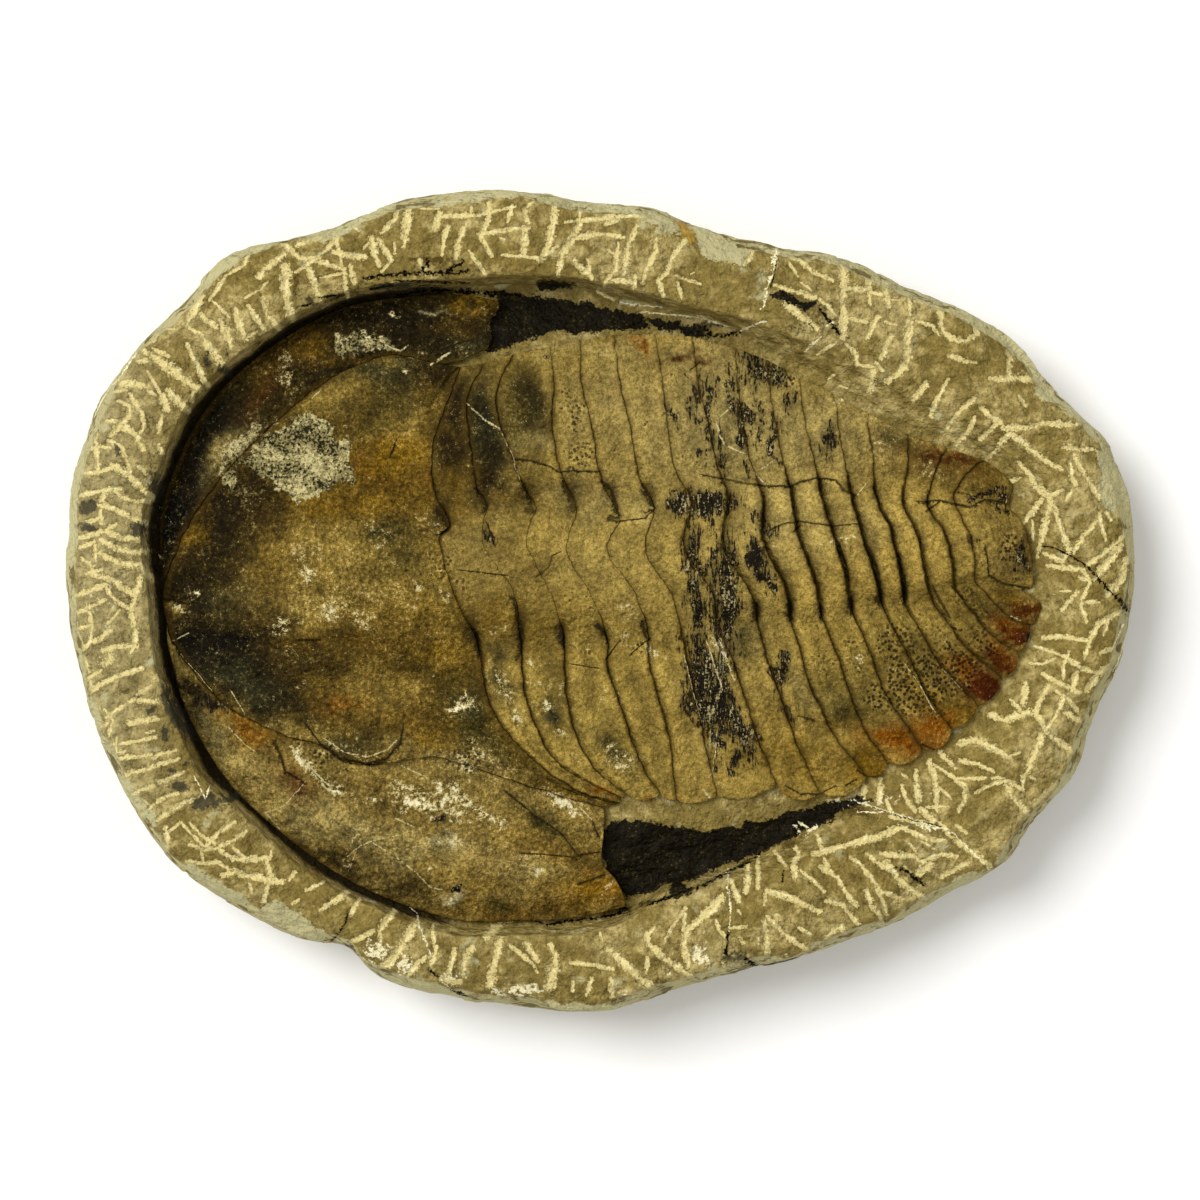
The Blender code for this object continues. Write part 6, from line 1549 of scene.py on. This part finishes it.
def build_segment(number):
    """Rulings between two joint lines, over the body's section across, plus one profile from front to
    rear over the axis and another over the ribs, blended at the furrows."""
    stations, rows = PLATE_STATIONS, SEGMENT_ROWS
    front = moved_sideways(ragged(across_body(JOINTS[number - 1], stations)), -JOINT_GAP)
    rear = moved_sideways(ragged(across_body(JOINTS[number], stations)), JOINT_GAP)
    plan = ruled(front, rear, rows)
    tip = plan[0, -1] - plan[0, 0]
    outward = np.array([tip[1], -tip[0]]) / np.linalg.norm(tip)
    bulge = TIP_BULGES[number - 1] * 4 * rows * (1 - rows)
    near_left = ease(stations, TIP_BULGE_REACH, 0)[:, None, None]
    plan = plan + near_left * bulge[:, None] * outward
    on_axis = over_axis(stations)
    near_tip = np.minimum(stations, RIGHT_TIP - stations)
    relief = TIP_RELIEF + (1 - TIP_RELIEF) * ease(near_tip, 0, TIP_RELIEF_REACH)
    relief = relief * np.where(stations < AXIS_CREST, LEFT_RIB_RELIEF, RIGHT_RIB_RELIEF)
    weight = AXIS_WEIGHTS[number - 1]
    over = weight * through(AXIS_PROFILE, rows)[:, 0]
    beside = relief[:, None] * through(RIB_PROFILE, rows)[:, 0]
    top = bed_height(plan) + through(BODY_HEIGHT, stations) + on_axis * over + (1 - on_axis) * beside
    top -= PIT_DEPTH * patches(plan, FURROW_PITS)
    top += lumps(plan, SEGMENT_LUMPS, SEGMENT_SEED + number)
    on_axis = on_axis * np.ones_like(rows)
    # Painted light and shade over the axis and the ribs.
    shade = 1 + weight * on_axis * (through(AXIS_LIGHT_AND_SHADE, rows)[:, 0] - 1)
    shade += relief[:, None] * (1 - on_axis) * (through(RIB_LIGHT_AND_SHADE, rows)[:, 0] - 1)
    fields = shell_fields(plan, TAN, BODY_DABS, shade[..., None])
    return add_plate(f"segment_{number:02d}", plan, top, fields)


segments = [build_segment(number) for number in range(1, SEGMENTS + 1)]
for number, segment in enumerate(segments, 1):
    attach(segment, "root")
    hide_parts(f"thoracic_segment_{number:02d}")

# The tail plate: a small rounded shield of the same shell, its axis dying away to the rear. It lies
# bedded on the stone and meets the last segment along the last joint.
TAIL_EDGE = (
    (131.3, -6.3), (132.5, -1.5), (130, 1.2), (126.5, 3.3), (129.8, 4), (130, 9.3), (129, 16.5),
    (126.5, 24), (123, 28), (123.5, 31.5), (123.5, 35.5), (119.5, 39.5),
)
TAIL_RELIEF = ((0, -0.36), (0.3, 0.06), (0.65, -0.3), (1, -0.72))
TAIL_ROWS, TAIL_FADE = np.linspace(0, 1, 60), 0.45
TAIL_LUMPS, TAIL_SEED = ((0.1, 3, 3),), 110


def build_tail():
    """Rulings from the last joint line to the rear margin, over the body's section, which fades."""
    stations, rows = PLATE_STATIONS, TAIL_ROWS
    front = moved_sideways(ragged(across_body(JOINTS[SEGMENTS], stations)), -JOINT_GAP)
    plan = ruled(front, across_body(TAIL_EDGE, stations), rows)
    top = bed_height(plan) + through(BODY_HEIGHT, stations) * (1 - TAIL_FADE * rows)
    top += through(TAIL_RELIEF, rows)[:, 0] + lumps(plan, TAIL_LUMPS, TAIL_SEED)
    return add_plate("tail_plate", plan, top, shell_fields(plan, TAN, BODY_DABS))


tail = build_tail()
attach(tail, "root")
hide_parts("pygidium")
BODY_MOTTLING = 0.75
finish_shell("body_shell", [*segments, tail], BODY_MOTTLING)

# The studio: a plain pale floor under the block, soft light from the upper left, and a camera that
# looks straight down. Lengths are in metres here, and angles in degrees.
FLOOR_REACH, FLOOR_PAINT, FLOOR_ROUGHNESS = 3.0, (0.93, 0.93, 0.92, 1), 0.9
SKY_COLOUR, SKY_STRENGTH = (1.0, 0.99, 0.97, 1), 0.65
KEY_STRENGTH, KEY_SPREAD, KEY_TILT = 2.4, 32, (-20, -33, 0)
VIEW_WIDTH, VIEW_PLANE, VIEW_MIDDLE = 0.36, 0.03, (0, 0.00015)
LENS, FILM_WIDTH = 135, 36

floor_material = bpy.data.materials.new("pale_floor")
floor_material.use_nodes = True
floor_shader = floor_material.node_tree.nodes["Principled BSDF"]
floor_shader.inputs["Base Color"].default_value = FLOOR_PAINT
floor_shader.inputs["Roughness"].default_value = FLOOR_ROUGHNESS
floor_mesh = bpy.data.meshes.new("floor")
floor_corners = [(x * FLOOR_REACH, y * FLOOR_REACH, 0) for x, y in ((-1, -1), (1, -1), (1, 1), (-1, 1))]
floor_mesh.from_pydata(floor_corners, [], [(0, 1, 2, 3)])
floor_mesh.materials.append(floor_material)
floor = bpy.data.objects.new("floor", floor_mesh)
bpy.context.scene.collection.objects.link(floor)

world = bpy.data.worlds.new("studio")
world.use_nodes = True
world.node_tree.nodes["Background"].inputs["Color"].default_value = SKY_COLOUR
world.node_tree.nodes["Background"].inputs["Strength"].default_value = SKY_STRENGTH
bpy.context.scene.world = world
bpy.context.scene.view_settings.view_transform = "Standard"

key = bpy.data.lights.new("key_light", "SUN")
key.energy = KEY_STRENGTH
key.angle = math.radians(KEY_SPREAD)
key_object = bpy.data.objects.new("key_light", key)
key_object.rotation_euler = [math.radians(turn) for turn in KEY_TILT]
bpy.context.scene.collection.objects.link(key_object)

camera = bpy.data.cameras.new("camera")
camera.lens = LENS
camera.sensor_width = FILM_WIDTH
camera_object = bpy.data.objects.new("camera", camera)
camera_object.location = (*VIEW_MIDDLE, VIEW_PLANE + VIEW_WIDTH * LENS / FILM_WIDTH)
bpy.context.scene.collection.objects.link(camera_object)
bpy.context.scene.camera = camera_object
